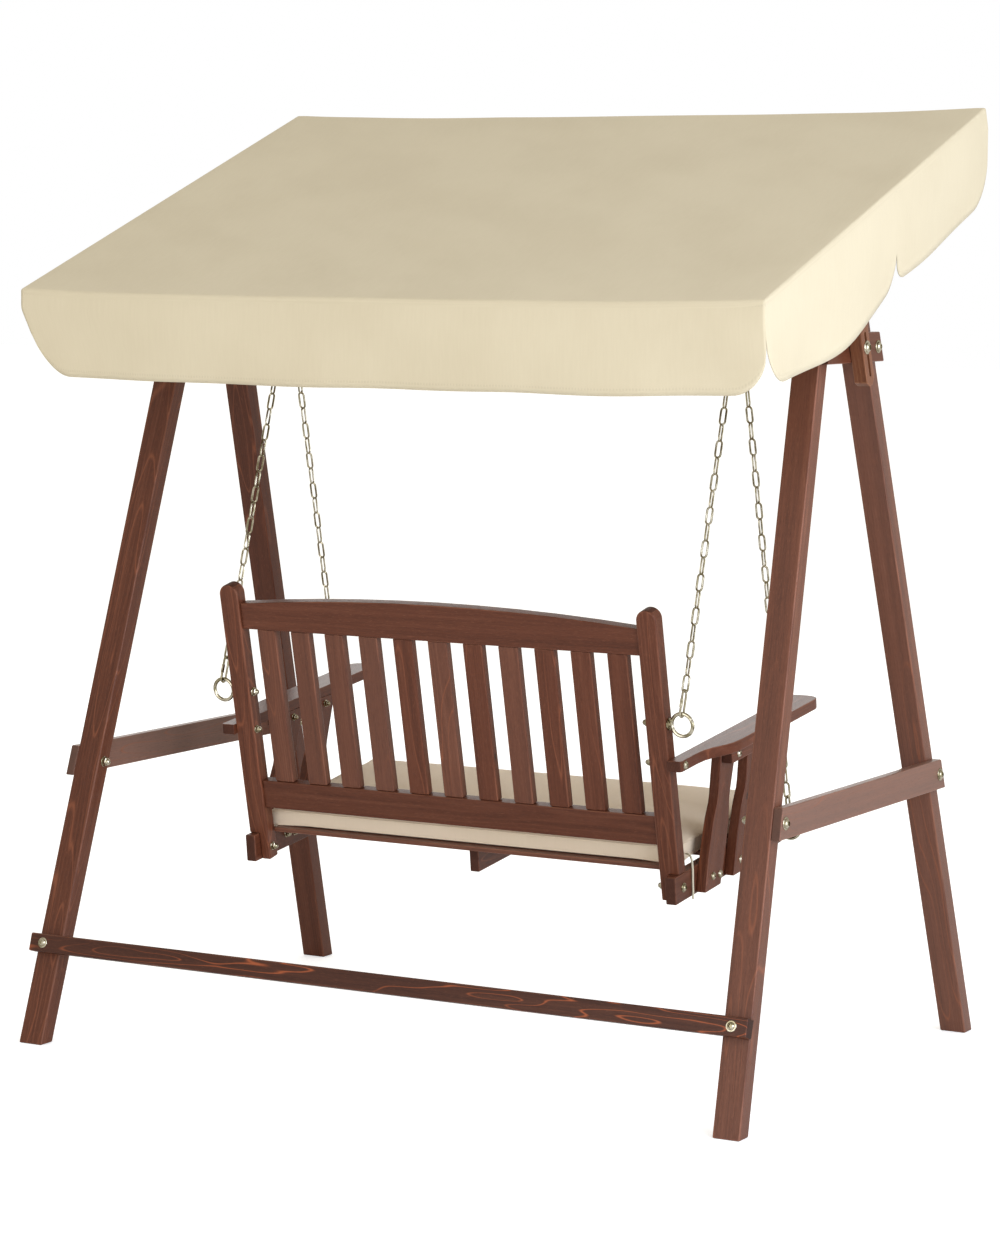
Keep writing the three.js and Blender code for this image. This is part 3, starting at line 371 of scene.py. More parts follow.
yellow_zinc = zinc("yellow zinc", (0.58, 0.53, 0.41), (0.30, 0.26, 0.16), 0.12)
print("metal:", yellow_zinc.name)


# %% Cloth materials
STITCH = 0.007
STRAND_ALONG, STRAND_ROUND = 0.004, 0.003


def woven(name, colour, shade, thread, fuzz):
    """Plain woven cloth, its threads as wide as given, with soft clouds of a second shade."""
    material, shader, w = new_material(name)
    cloth = attribute(w, "cloth", "Vector")
    parts = w.node("ShaderNodeSeparateXYZ", {"Vector": cloth})
    across = (parts / thread).wave()
    along = (parts.output("Y") / thread).wave()
    crossing = across * along + (1 - across) * (1 - along)
    slubs = cloth.scaled(260, 18, 20).noise(1, 3)
    clouds = cloth.noise(3.2, 2)
    seam = attribute(w, "seam")
    stitch = seam.ramp(0.55, 0.8) * (parts.output("Z") / STITCH).wave().ramp(0.3, 0.5)
    tone = clouds.ramp(0.3, 0.75) * 0.3 + slubs * 0.35
    colour = tone.blend(colour, shade)
    colour = (stitch * 0.15).blend(colour, darker(shade, 0.6))
    w.feed(shader.inputs["Sheen Weight"], fuzz)
    w.feed(shader.inputs["Specular IOR Level"], 0.25)
    relief = crossing * 0.5 + slubs * 0.5 + seam.ramp(0.3, 0.7) * -1.0
    finished(shader, w, colour, 0.82 + crossing * 0.12, relief, 0.0004, 0.5)
    return material


canopy_cloth = woven("canopy cloth", (0.645, 0.56, 0.395), (0.54, 0.455, 0.305), 0.0011, 0.1)
cushion_cloth = woven("cushion cloth", (0.82, 0.68, 0.515), (0.73, 0.59, 0.425), 0.0013, 0.15)


def cotton_cord(name, colour):
    """A twisted cord: fine plies run round and along it, with painted shade in the grooves between
    them.
    """
    material, shader, w = new_material(name)
    place = w.node("ShaderNodeTexCoord", {}, "Object")
    parts = w.node("ShaderNodeSeparateXYZ", {"Vector": place})
    strand_relief_and_shade = (parts.output("Z") / STRAND_ALONG + parts / STRAND_ROUND).wave()
    # darker between the plies: painted shade in the grooves
    colour = strand_relief_and_shade.blend(darker(colour, 0.7), colour)
    finished(shader, w, colour, 0.8 + strand_relief_and_shade * 0.15, strand_relief_and_shade, 0.0005, 0.6)
    return material


cord_cotton = cotton_cord("cord cotton", (0.70, 0.64, 0.48))
for tie in ties:
    tie.data.materials.append(cord_cotton)
print("cloths:", canopy_cloth.name, cushion_cloth.name, cord_cotton.name)

# %% [markdown]
# ## Boards
# A board starts as its CAD solid. The loose triangles are merged and the flat ones joined, so
# that each face is one polygon, and then each outer edge is rounded a little, as a planer and
# sandpaper leave it. The drilled holes keep their sharp rims, since washers cover them. The
# tones of a few boards follow the picture and are painted sheen or painted shade, and the
# others are drawn by chance.


# %% Board maker
MERGE, FLAT = 1e-5, math.radians(1)
HOLE_BEND, HOLE_STRIP = 0.08, 2.5e-4  # radians, square metres
EDGE_BEND = math.radians(40)
SHARP_BOARD, SHARP_TURNED, SHARP_CHAIN, SOFT_PIECE = 60, 35, 40, 180  # degrees
chance = random.Random(11)
boards = []
# listed tones are painted light: above 0 a painted sheen, below 0 a painted shade
TONES_AND_PAINTED_LIGHT = {
    "leg_front_left": 0.2, "leg_back_left": 0.1, "leg_front_right": -0.5, "leg_back_right": -0.3,
    "side_stretcher_left": 0.46, "side_stretcher_right": 0.55,
    "back_rail_low": -0.35, "side_rail_left": -0.3,
    "upright_rear_left": -0.25, "upright_front_left": -0.1,
}


def small_hole(face):
    """True for a wall of a drilled hole or a slot's round end: it bends inwards in short steps."""
    dents = [e for e in face.edges if len(e.link_faces) == 2 and not e.is_convex]
    walls = [e.link_faces for e in dents if e.calc_face_angle() > HOLE_BEND]
    return any(min(wall.calc_area() for wall in pair) < HOLE_STRIP for pair in walls)


def bevelled(bm, edges, width, segments, clamp_overlap=False):
    """Rounds edges, and gives the new faces."""
    shape = {"offset": width, "segments": segments, "profile": 0.5, "affect": "EDGES"}
    return ops.bevel(bm, geom=edges, material=-1, clamp_overlap=clamp_overlap, **shape)["faces"]


def finish_piece(name, bm, material, body, node, sharp):
    """The finished bmesh becomes an object that rides on a body, in place of a CAD node."""
    mesh = mesh_from(name, bm)
    mesh.materials.append(material)
    for extra in [a for a in mesh.attributes if a.name == "custom_normal"]:
        mesh.attributes.remove(extra)
    mesh.shade_smooth()
    mesh.set_sharp_from_angle(angle=math.radians(sharp))
    obj = placed(name, mesh)
    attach(obj, body)
    if node:
        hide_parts(node)
    return obj


def board(node, along, body, rounding, material=timber):
    """A board from its CAD solid, its grain running along the given direction."""
    bm = bmesh.new()
    bm.from_mesh(nodes[node].data)
    ops.remove_doubles(bm, verts=bm.verts[:], dist=MERGE)
    ops.dissolve_limit(bm, angle_limit=FLAT, verts=bm.verts[:], edges=bm.edges[:])
    bm.normal_update()
    bends = [e for e in bm.edges if e.is_convex and e.calc_face_angle() > EDGE_BEND]
    outer = [e for e in bends if not any(small_hole(face) for face in e.link_faces)]
    rounded = set(bevelled(bm, outer, rounding, 2, clamp_overlap=True))
    along = along.normalized()
    beside = Y if abs(along.x) > 0.9 else X
    across = beside.cross(along).normalized()
    into = along.cross(across)
    middle = sum((v.co for v in bm.verts), Vector()) / len(bm.verts)
    shift = Vector((chance.uniform(0, 9), chance.uniform(-0.03, 0.03), chance.uniform(0.012, 0.06)))
    # a listed board gets its painted sheen or painted shade; the others a tone drawn by chance
    own_tone_and_light = TONES_AND_PAINTED_LIGHT.get(node, chance.uniform(-0.25, 0.15))
    grain_layer = bm.verts.layers.float_vector.new("grain")
    tone_and_light_layer = bm.verts.layers.float.new("tone_and_painted_light")
    for vert in bm.verts:
        place = vert.co - middle
        vert[grain_layer] = Vector((place.dot(along), place.dot(across), place.dot(into))) + shift
        vert[tone_and_light_layer] = own_tone_and_light
    end_layer = bm.loops.layers.float.new("end_grain")
    arris_layer = bm.loops.layers.float.new("arris")
    face_layer = bm.loops.layers.float_vector.new("face_place")
    for face in bm.faces:
        end = 1.0 if abs(face.normal.dot(along)) > 0.8 else 0.0
        arris = 1.0 if face in rounded else 0.0
        is_wide = abs(face.normal.dot(into)) > 0.7
        for loop in face.loops:
            loop[end_layer] = end
            loop[arris_layer] = arris
            place = loop.vert[grain_layer]
            loop[face_layer] = Vector((place.x, place.y if is_wide else place.z + 3, 0))
    obj = finish_piece(f"{node}_timber", bm, material, body, node, SHARP_BOARD)
    obj.modifiers.new("flat faces stay flat", "WEIGHTED_NORMAL").keep_sharp = True
    boards.append(obj)


print("board maker ready")

# %% [markdown]
# ## The stand
# Two A-shaped side frames carry a ridge beam. Their legs lean together at the top, a long
# stretcher and a short collar plate tie each pair, and one rail joins the rear feet.

# %% Stand boards
FOOT_X, FOOT_Y = 0.872, 0.601  # outer faces of the legs at the floor
LEG_RISE, LEG_WIDTH, LEG_DEPTH = 1.77, 0.060, 0.042
LEG_SLOPE = (FOOT_Y - LEG_DEPTH - 0.019) / LEG_RISE
LEAN_SLOPE = 0.074 / LEG_RISE
LEG_ANGLE = math.atan(LEG_SLOPE)

for hand, side in SIDES:
    for way, end in ENDS:
        leg_line = Vector((-side * LEAN_SLOPE, -end * LEG_SLOPE, 1))
        board(f"leg_{way}_{hand}", leg_line, "stand", 0.003)
    board(f"side_stretcher_{hand}", Y, "stand", 0.0025)
    board(f"collar_plate_{hand}", Y, "stand", 0.0025)
board("foot_rail_back", X, "stand", 0.003, dark_timber)
board("ridge_beam", X, "stand", 0.003)
print("boards of the stand:", len(boards))

# %% [markdown]
# ## The canopy's frame
# Two slotted masts are clamped to the collar plates. Two rafters lie on them, joined by a rail
# at each end: a light frame that only has to hold cloth.

# %% Canopy frame
mast_line, rafter_line = AT_CANOPY.to_3x3() @ Z, AT_CANOPY.to_3x3() @ Y
for hand, _ in SIDES:
    board(f"canopy_mast_{hand}", mast_line, "canopy", 0.002, pale_mast_timber_and_sheen)
    board(f"canopy_rafter_{hand}", rafter_line, "canopy", 0.002)
for way, _ in ENDS:
    board(f"canopy_rail_{way}", X, "canopy", 0.002)
print("boards with the canopy's frame:", len(boards))

# %% [markdown]
# ## The bench
# Two posts, a curved top rail, a low rail and eleven slats make the back. Two side rails and a
# middle one carry four seat slats. Each armrest flares outwards over two curved uprights.

# %% Bench boards
bench_line = AT_BENCH.to_3x3() @ Y
back_line = AT_BACK.to_3x3() @ Z
upright_line = AT_BENCH.to_3x3() @ Vector((0, -0.36, 1))
for hand, _ in SIDES:
    for name, line, rounding in (
        ("back_post", back_line, 0.003),
        ("side_rail", bench_line, 0.0025),
        ("armrest", bench_line, 0.003),
        ("upright_rear", upright_line, 0.002),
        ("upright_front", upright_line, 0.002),
    ):
        board(f"{name}_{hand}", line, "bench", rounding)
for name in ("back_rail_top", "back_rail_low", *(f"seat_slat_{number}" for number in range(1, 5))):
    board(name, X, "bench", 0.002)
board("middle_rail", bench_line, "bench", 0.002)
for number in range(1, 12):
    board(f"back_slat_{number:02d}", back_line, "bench", 0.0025)
print("boards with the bench:", len(boards))

# %% [markdown]
# ## Turned metal
# Washers, dome nuts and bolt heads are round, so each is a half outline spun once round its
# axis. A hexagon is a cone with six sides and its top edges cut back. A dome nut closes the
# inner end of a bolt, and a low head with a key's socket the outer one, each on a washer.


# %% Metal makers
ORIGIN = (0, 0, 0)
FULL_TURN, ROUND = 2 * math.pi, 20
NUT_PLATE, NUT_HEIGHT = 0.0015, 0.0055
HEADS = {
    # washer's radius and thickness, head's radius and height, socket's radius
    "bolt head": (0.0095, 0.0016, 0.0068, 0.0046, 0.0034),
    "coach head": (0.0088, 0.0012, 0.0076, 0.0040, 0.0030),
}
fasteners = []


def turned(bm, verts, angle, axis):
    ops.rotate(bm, verts=verts, cent=ORIGIN, matrix=Matrix.Rotation(angle, 3, axis))


def spin(bm, geom, axis, angle, steps):
    full = angle == FULL_TURN
    ops.spin(bm, geom=geom, cent=ORIGIN, axis=axis, angle=angle, steps=steps, use_merge=full)


def spun(bm, outline, steps=ROUND):
    """Adds a turned shape round Z from its half outline of (radius, height) pairs."""
    verts = [bm.verts.new((radius, 0, height)) for radius, height in outline]
    edges = [bm.edges.new(pair) for pair in zip(verts, verts[1:])]
    spin(bm, verts + edges, Z, FULL_TURN, steps)


def hexagonal(bm, radius, depth, middle):
    """Adds a prism with six sides round Z, and gives its vertices."""
    made = ops.create_cone(
        bm, cap_ends=True, segments=6, radius1=radius, radius2=radius, depth=depth
    )
    ops.translate(bm, verts=made["verts"], vec=middle)
    return made["verts"]


def washer(bm, radius, thickness, base):
    top, cut = base + thickness, thickness * 0.3
    spun(bm, [(0.0, base), (radius, base), (radius, top - cut), (radius - cut, top), (0.0, top)])


def shank(bm, start, end, first_radius, last_radius, steps):
    spun(bm, [(0.0, start), (first_radius, start), (last_radius, end), (0.0, end)], steps)


def hexagon(bm, radius, height, base):
    verts = hexagonal(bm, radius, height, (0, 0, base + height / 2))
    edges = {edge for vert in verts for edge in vert.link_edges}
    top = [edge for edge in edges if all(vert.co.z > base + height * 0.9 for vert in edge.verts)]
    bevelled(bm, top, radius * 0.12, 1)


def elliptic(radius, height, base, first, last, rows=5):
    """Points of a quarter ellipse between two of its angles."""
    angles = [first + (last - first) * row / rows for row in range(rows + 1)]
    return [(radius * math.cos(angle), base + height * math.sin(angle)) for angle in angles]


def tidied(bm):
    """Merges doubled points and turns all faces outwards."""
    ops.remove_doubles(bm, verts=bm.verts[:], dist=1e-6)
    ops.recalc_face_normals(bm, faces=bm.faces[:])


def metal_piece(name, bm, seat, body, node=None):
    """Moves a turned shape from the origin to its seat and finishes it in zinc."""
    tidied(bm)
    ops.transform(bm, matrix=seat, verts=bm.verts[:])
    return finish_piece(name, bm, yellow_zinc, body, node, SHARP_TURNED)


def seat_at(place, outward):
    """Carries a head from the origin to its place, with its axis along the outward direction."""
    return Matrix.Translation(place) @ outward.to_track_quat("Z", "X").to_matrix().to_4x4()


def dome_nut(bm, size, base=0.0):
    """A washer, a hexagon and a dome on it."""
    height = NUT_HEIGHT * size
    washer(bm, 0.0085 * size, NUT_PLATE, base)
    hexagon(bm, 0.0072 * size, height, base + NUT_PLATE)
    spun(bm, elliptic(0.0056 * size, height, base + NUT_PLATE + height, 0.0, math.pi / 2))


def low_head(bm, kind, size, base=0.0):
    """A washer, and a low round head with a socket for a key in its middle."""
    rim, plate, *rest = HEADS[kind]
    radius, height, socket = (size * value for value in rest)
    washer(bm, rim * size, plate, base)
    floor = base + plate + height * 0.3
    cap = elliptic(radius, height, base + plate, math.acos(socket / radius), 0.0)
    spun(bm, [(0.0, floor), (socket, floor), *cap])


def fastener(name, kind, place, outward, body, size):
    """A nut or head that sits on a face at a place and points outward from it."""
    bm = bmesh.new()
    if kind in HEADS:
        low_head(bm, kind, size)
    else:
        dome_nut(bm, size)
    fasteners.append(metal_piece(name, bm, seat_at(place, outward), body))


def bolted(label, kind, outer, inner, outward, body, head_size, nut_size):
    """A head outside and a dome nut inside."""
    fastener(f"bolt_{label}", kind, outer, outward, body, head_size)
    fastener(f"nut_{label}", "dome nut", inner, -outward, body, nut_size)


print("heads:", ", ".join(HEADS), "and dome nut")

# %% [markdown]
# ## Bolts of the stand
# A bolt goes through each board end into its leg: a wide washer and a head outside, a dome nut
# inside. They stand square to the leaning faces, so each gets the direction of its own face.


# %% Stand bolts
STRETCHER_Z, COLLAR_Z, RIDGE_BOLT_Z, FOOT_RAIL_Z = 0.602, 1.536, 1.73, 0.211
TIE_THICK, FOOT_RAIL_THICK = 0.0203, 0.0283  # boards outside the legs, with a hair of air


def leg_y(height):
    """Half depth of the stand at the outer edge of its legs."""
    return FOOT_Y - LEG_SLOPE * height


def leg_x(height):
    """Half width of the stand at the outer face of its legs."""
    return FOOT_X - LEAN_SLOPE * height


def on_leg(side, end, height):
    """The middle of a leg's front or back face at a height, and the way out of that face."""
    place = Vector((side * (leg_x(height) - LEG_WIDTH / 2), end * leg_y(height), height))
    return place, Vector((0, end * math.cos(LEG_ANGLE), math.sin(LEG_ANGLE)))


for hand, side in SIDES:
    sideways = Vector((side, 0, LEAN_SLOPE)).normalized()
    for way, end in ENDS:
        for tie_name, height in (("stretcher", STRETCHER_Z), ("collar", COLLAR_Z)):
            y = end * (leg_y(height) - LEG_DEPTH / 2)
            outer = Vector((side * (leg_x(height) + TIE_THICK), y, height))
            inner = Vector((side * (leg_x(height) - LEG_WIDTH), y, height))
            label = f"{tie_name}_{way}_{hand}"
            bolted(label, "bolt head", outer, inner, sideways, "stand", 1.45, 1.35)
        top, out = on_leg(side, end, RIDGE_BOLT_Z)
        fastener(f"ridge_bolt_{way}_{hand}", "bolt head", top, out, "stand", 1.0)
    foot, out = on_leg(side, 1, FOOT_RAIL_Z)
    outer, inner = foot + out * FOOT_RAIL_THICK, foot - out * LEG_DEPTH * math.cos(LEG_ANGLE)
    fastener(f"foot_rail_bolt_{hand}", "bolt head", outer, out, "stand", 1.2)
    fastener(f"foot_rail_nut_{hand}", "dome nut", inner, -out, "stand", 1.35)
print("bolt heads and nuts of the stand:", len(fasteners))

# %% [markdown]
# ## Bolts of the bench
# The same heads hold the rails, posts, armrests and uprights. The places are distances in the
# bench's own frame, and the matrix turns them with the bench.

# %% Bench bolts
BENCH_BOLTS = [
    # name, outer kind, outer x, inner x, y, z, size
    ("rail_and_post", "bolt head", 0.533, 0.487, -0.038, 0.029, 1.1),
    ("armrest_and_post", "coach head", 0.5663, 0.487, -0.006, 0.3035, 1.05),
    ("rear_upright_foot_rear", "coach head", 0.5568, 0.509, -0.130, 0.031, 1.0),
    ("rear_upright_foot_front", "coach head", 0.5568, 0.509, -0.163, 0.027, 1.0),
    ("front_upright_foot_rear", "coach head", 0.5568, 0.509, -0.266, 0.031, 1.0),
    ("front_upright_foot_front", "coach head", 0.5568, 0.509, -0.299, 0.027, 1.0),
    ("rear_upright_top", "coach head", 0.5811, 0.5333, -0.228, 0.2755, 0.95),
    ("front_upright_top", "coach head", 0.5811, 0.5333, -0.365, 0.2755, 0.95),
]
for hand, side in SIDES:
    outward = Vector((side, 0, 0))
    for name, kind, outer_x, inner_x, y, z, size in BENCH_BOLTS:
        outer = AT_BENCH @ Vector((side * outer_x, y, z))
        inner = AT_BENCH @ Vector((side * inner_x, y, z))
        bolted(f"{name}_{hand}", kind, outer, inner, outward, "bench", size, size)
print("bolt heads and nuts with the bench:", len(fasteners))

# %% [markdown]
# ## Clamp bolts
# One long bolt on each side goes through the collar plate and the mast's slot. Tightened, it
# holds the canopy's tilt and height by friction.

# %% Clamp bolts
MAST_OUT, COLLAR_IN = 0.85968, leg_x(1.549) - 0.0006
CLAMP_RADIUS, CLAMP_END = 0.0039, MAST_OUT + 0.004
AIR = 0.0003
for hand, side in SIDES:
    bm = bmesh.new()
    dome_nut(bm, 1.1, AIR - COLLAR_IN)
    turned(bm, bm.verts[:], math.pi, "X")
    shank(bm, COLLAR_IN, CLAMP_END, CLAMP_RADIUS, CLAMP_RADIUS, 16)
    low_head(bm, "bolt head", 1.5, MAST_OUT + AIR)
    seat = seat_at(PIVOT, Vector((side, 0, 0)))
    metal_piece(f"clamping_bolt_{hand}", bm, seat, "clamp_bolts", f"clamp_bolt_{hand}")
print("clamp bolts: 2")

# %% [markdown]
# ## Eye bolts
# Each chain end hangs on an eye: a ring of round bar in one piece with a bolt. The ring is a
# circle spun once round; the shank, the flange and the dome nut are turned along the same axis.

# %% Eye bolts
RING_OUTER, RING_WIRE = 0.028, 0.008
RING = RING_OUTER - RING_WIRE / 2
FLANGE, FLANGE_RADIUS = 0.003, 0.0128
SHANK_RADII, SHANK_SPARE = (0.0045, 0.0049), 0.002


def wire_ring(bm, radius, wire, turn, steps, sides):
    """Round bar bent about Y, from +X upwards."""
    made = ops.create_circle(bm, cap_ends=False, radius=wire / 2, segments=sides)
    ops.translate(bm, verts=made["verts"], vec=(radius, 0, 0))
    edges = list({edge for vert in made["verts"] for edge in vert.link_edges})
    spin(bm, made["verts"] + edges, -Y, turn, steps)


def eye_bolt(name, thickness, seat, body, node):
    """An eye round the origin, its shank through a board of the given thickness."""
    bm = bmesh.new()
    face = RING_OUTER + FLANGE + thickness
    shank(bm, RING, face + SHANK_SPARE, *SHANK_RADII, ROUND)
    washer(bm, FLANGE_RADIUS, FLANGE, RING_OUTER)
    dome_nut(bm, 1.15, face)
    turned(bm, bm.verts[:], math.pi / 2, "Y")
    wire_ring(bm, RING, RING_WIRE, FULL_TURN, 28, 10)
    metal_piece(name, bm, seat, body, node)


HANG_X, RIDGE_RING_Z, RIDGE_DEPTH = 0.558, 1.669, 0.060
POST_DEPTH, RAIL_DEPTH = 0.046, 0.024
EYE_X = 0.533 + RING_OUTER + FLANGE
REAR_EYE = Vector((EYE_X, -0.0031, 0.3892))
FRONT_EYE = Vector((EYE_X, -0.499, 0.040))
upward = Matrix.Rotation(-math.pi / 2, 4, "Y")
for hand, side in SIDES:
    ridge_seat = Matrix.Translation((side * HANG_X, 0, RIDGE_RING_Z)) @ upward
    eye_bolt(f"eye_ridge_{hand}", RIDGE_DEPTH, ridge_seat, "stand", f"ridge_eye_{hand}")
    inward = Matrix.Rotation(math.pi if side > 0 else 0, 4, "Z")
    for way, eye, depth in (("rear", REAR_EYE, POST_DEPTH), ("front", FRONT_EYE, RAIL_DEPTH)):
        seat = AT_BENCH @ Matrix.Translation((side * eye.x, eye.y, eye.z)) @ inward
        eye_bolt(f"eye_{way}_{hand}", depth, seat, "bench", f"eye_bolt_{way}_{hand}")
print("eye bolts: 6")

# %% [markdown]
# ## Chains
# A link is round wire bent into a long ring: two half turns joined by straight runs. Every
# second link is turned a quarter, as in any chain. A quick link with a screwed sleeve hooks
# each chain to its eye, and another hangs both chains of a side in the ridge eye.


# %% Chain links
def link_mesh(length, width, wire, steps, sides, sleeve=False):
    """A long ring of wire in the XZ plane, drawn out along Z."""
    bm = bmesh.new()
    wire_ring(bm, (width - wire) / 2, wire, math.pi, steps, sides)
    ops.translate(bm, verts=bm.verts[:], vec=(0, 0, (length - width) / 2))
    copied = ops.duplicate(bm, geom=bm.verts[:] + bm.edges[:] + bm.faces[:])
    lower = [item for item in copied["geom"] if isinstance(item, bmesh.types.BMVert)]
    turned(bm, lower, math.pi, "Y")
    for sign in (-1, 1):
        rims = [e for e in bm.edges if e.is_boundary and sign * e.verts[0].co.x > 0]
        ops.bridge_loops(bm, edges=rims)
    if sleeve:
        hexagonal(bm, wire * 0.78, length * 0.28, ((width - wire) / 2, 0, 0))
    tidied(bm)
    return mesh_from("link", bm)


CHAIN_WIRE, CHAIN_WIDTH, CHAIN_PITCH = 0.0045, 0.017, 0.035
QUICK_WIRE, QUICK_WIDTH = 0.005, 0.022
GAP, BITE = 0.0003, 0.00025  # between hooked rings, and where two links touch
QUICK_LOW, QUICK_TOP, QUICK_TOP_Z = 0.062, 0.050, 1.6293
HOOK_Z, HOOK_STEP = 1.61095, 0.0009
quarter = Matrix.Rotation(math.pi / 2, 4, "Z")


def chain(name, eye, hook, node, side, with_top_link):
    """A chain from an eye of the bench up to its hook under the ridge."""
    ring_top = AT_BENCH @ Vector((side * eye.x, eye.y, eye.z + RING))
    line = hook - ring_top
    turn = Z.rotation_difference(line.normalized()).to_matrix().to_4x4()
    place = Matrix.Translation(ring_top) @ turn
    low = -RING_WIRE / 2 - 2 * GAP - QUICK_WIRE
    first = low + QUICK_LOW - QUICK_WIRE - CHAIN_WIRE + BITE
    wanted = line.length + CHAIN_WIRE / 2 - first - CHAIN_WIRE
    count = 2 * round((wanted / CHAIN_PITCH - 1) / 2) + 1
    pitch = wanted / count
    length = pitch + CHAIN_WIRE + BITE
    quick = link_mesh(QUICK_LOW, QUICK_WIDTH, QUICK_WIRE, 10, 8, True)
    link = link_mesh(length, CHAIN_WIDTH, CHAIN_WIRE, 6, 6)
    parts = [(quick, place @ Matrix.Translation((0, 0, low + QUICK_LOW / 2)) @ quarter)]
    for number in range(count):
        spot = place @ Matrix.Translation((0, 0, first + number * pitch + length / 2))
        parts.append((link, spot @ quarter if number % 2 else spot))
    if with_top_link:
        top = link_mesh(QUICK_TOP, QUICK_WIDTH, QUICK_WIRE, 10, 8, True)
        parts.append((top, Matrix.Translation((side * HANG_X, 0, QUICK_TOP_Z)) @ quarter))
    bm = bmesh.new()
    for mesh, matrix in parts:
        known = len(bm.verts)
        bm.from_mesh(mesh)
        bm.verts.ensure_lookup_table()
        ops.transform(bm, matrix=matrix, verts=bm.verts[known:])
    finish_piece(name, bm, yellow_zinc, "bench", node, SHARP_CHAIN)
    print(name, count, "links of", round(length * 1000, 1), "mm")


shift = (CHAIN_WIRE + GAP) / 2
for hand, side in SIDES:
    for way, eye, y, z in (
        ("rear", REAR_EYE, shift, HOOK_Z),
        ("front", FRONT_EYE, -shift, HOOK_Z + HOOK_STEP),
    ):
        hook, node = Vector((side * HANG_X, y, z)), f"chain_{way}_{hand}"
        chain(f"{way}_chain_{hand}", eye, hook, node, side, way == "rear")

# %% [markdown]
# ## The canopy's cover
# The cover is one cloth: a top that sags a little between the rafters, and a flap that hangs
# from each edge. A flat grid is bent to the top's shape, and its border edges are extruded
# downwards row by row. The flaps are sewn together at the corners for part of their depth,
# then part in rounded lobes, and a slit splits each side flap in the middle. Behind the slit
# the side flap hangs in a belly that rises again towards the rear corner.

# %% Cover
HALF_X, COVER_TOP = 0.882, 0.281
COVER_FRONT, COVER_BACK = -0.706, 0.472
COVER_MIDDLE, HALF_Y = (COVER_FRONT + COVER_BACK) / 2, (COVER_BACK - COVER_FRONT) / 2
RAFTER_X, FRAME_DEPTH = 0.8599, 0.042
SAG_MIDDLE, SAG_ENDS, RIPPLE = 0.014, 0.009, 0.0016
DROP, SEWN_DROP, LOBE = 0.184, 0.093, 0.080
SIDE_DROP, REAR_BELLY, FRONT_BELLY, CORNER_RISE = 0.198, 0.046, 0.008, 0.026
SLIT_SHARE, SLIT_LOBE, SLIT_DEPTH = 0.56, 0.044, 0.066
PULL_REACH, PULL_RIGHT, PULL_LEFT = 0.5, -0.48, -0.09
WAVE_LENGTH, SWING, SOFT, SLANT = 0.36, 0.004, 0.003, 0.0022
CELLS_ACROSS, CELLS_ALONG = 84, 80
PLUMB = Vector((0, math.sin(TILT), -math.cos(TILT)))


def crowded(count, places, width=0.09, extra=5.0):
    """Steps from -1 to 1 that lie closer together near the given places."""
    fine = [number / 2000 - 1 for number in range(4001)]
    bells = [[math.exp(-(((x - place) / width) ** 2)) for place in places] for x in fine]
    weights = [1 + sum(extra * bell for bell in row) for row in bells]
    total, gathered, steps = sum(weights), 0.0, [-1.0]
    for x, weight in zip(fine, weights):
        gathered += weight
        if gathered >= total * len(steps) / count and len(steps) < count:
            steps.append(x)
    steps.append(1.0)
    for place in places:
        steps[min(range(len(steps)), key=lambda number: abs(steps[number] - place))] = place
    return steps


STEPS_ACROSS = crowded(CELLS_ACROSS, (-1, 1))
STEPS_ALONG = crowded(CELLS_ALONG, (-1, 1 - 2 * SLIT_SHARE, 1))


def top_place(u, v):
    """A point of the sagging top, u and v from -1 to 1."""
    reach = min(abs(u) * HALF_X / RAFTER_X, 1)
    open_share = 1 - reach**4
    sag = SAG_MIDDLE * open_share * (1 - v * v) + SAG_ENDS * open_share * v * v
    ripple = RIPPLE * open_share * math.sin(7 * u + 2.5 * v) * math.cos(5 * v - 1.5 * u)
    return Vector((u * HALF_X, COVER_MIDDLE + v * HALF_Y, COVER_TOP - sag - abs(ripple)))


def lift(distance, radius, depth):
    """How far the rounded end of a lobe stands above its lowest line."""
    return 0.0 if distance >= radius else depth * (1 - math.sqrt(1 - (1 - distance / radius) ** 2))


def end_drop(run, length):
    """Depth of the front and rear flaps: even, with rounded lower corners."""
    return DROP - lift(min(run, length - run), LOBE, DROP - SEWN_DROP)


def side_drop(from_back, length):
    """Depth of a side flap: deeper, with a belly behind its slit."""
    slit = length * SLIT_SHARE
    is_rear = from_back < slit
    share = from_back / slit if is_rear else (length - from_back) / (length - slit)
    if is_rear:
        belly = REAR_BELLY * math.sin(math.pi * share**1.5) - CORNER_RISE * (1 - share) ** 2
    else:
        belly = FRONT_BELLY * math.sin(math.pi * share)
    ends = lift(min(from_back, length - from_back), LOBE, SIDE_DROP - SEWN_DROP)
    return SIDE_DROP + belly - ends - lift(abs(from_back - slit), SLIT_LOBE, SLIT_DEPTH)


def corner_pull(base, fall):
    """The cover hangs a little askew: its rear right corner is drawn in, the left one stands out."""
    near_back = max(0.0, 1 - (COVER_BACK - base.y) / PULL_REACH) ** 2
    near_side = max(0.0, 1 - (HALF_X - abs(base.x)) / PULL_REACH) ** 2
    share = PULL_RIGHT if base.x > 0 else PULL_LEFT
    return Vector((share * max(0.0, fall - FRAME_DEPTH) * near_back * near_side, 0, 0))


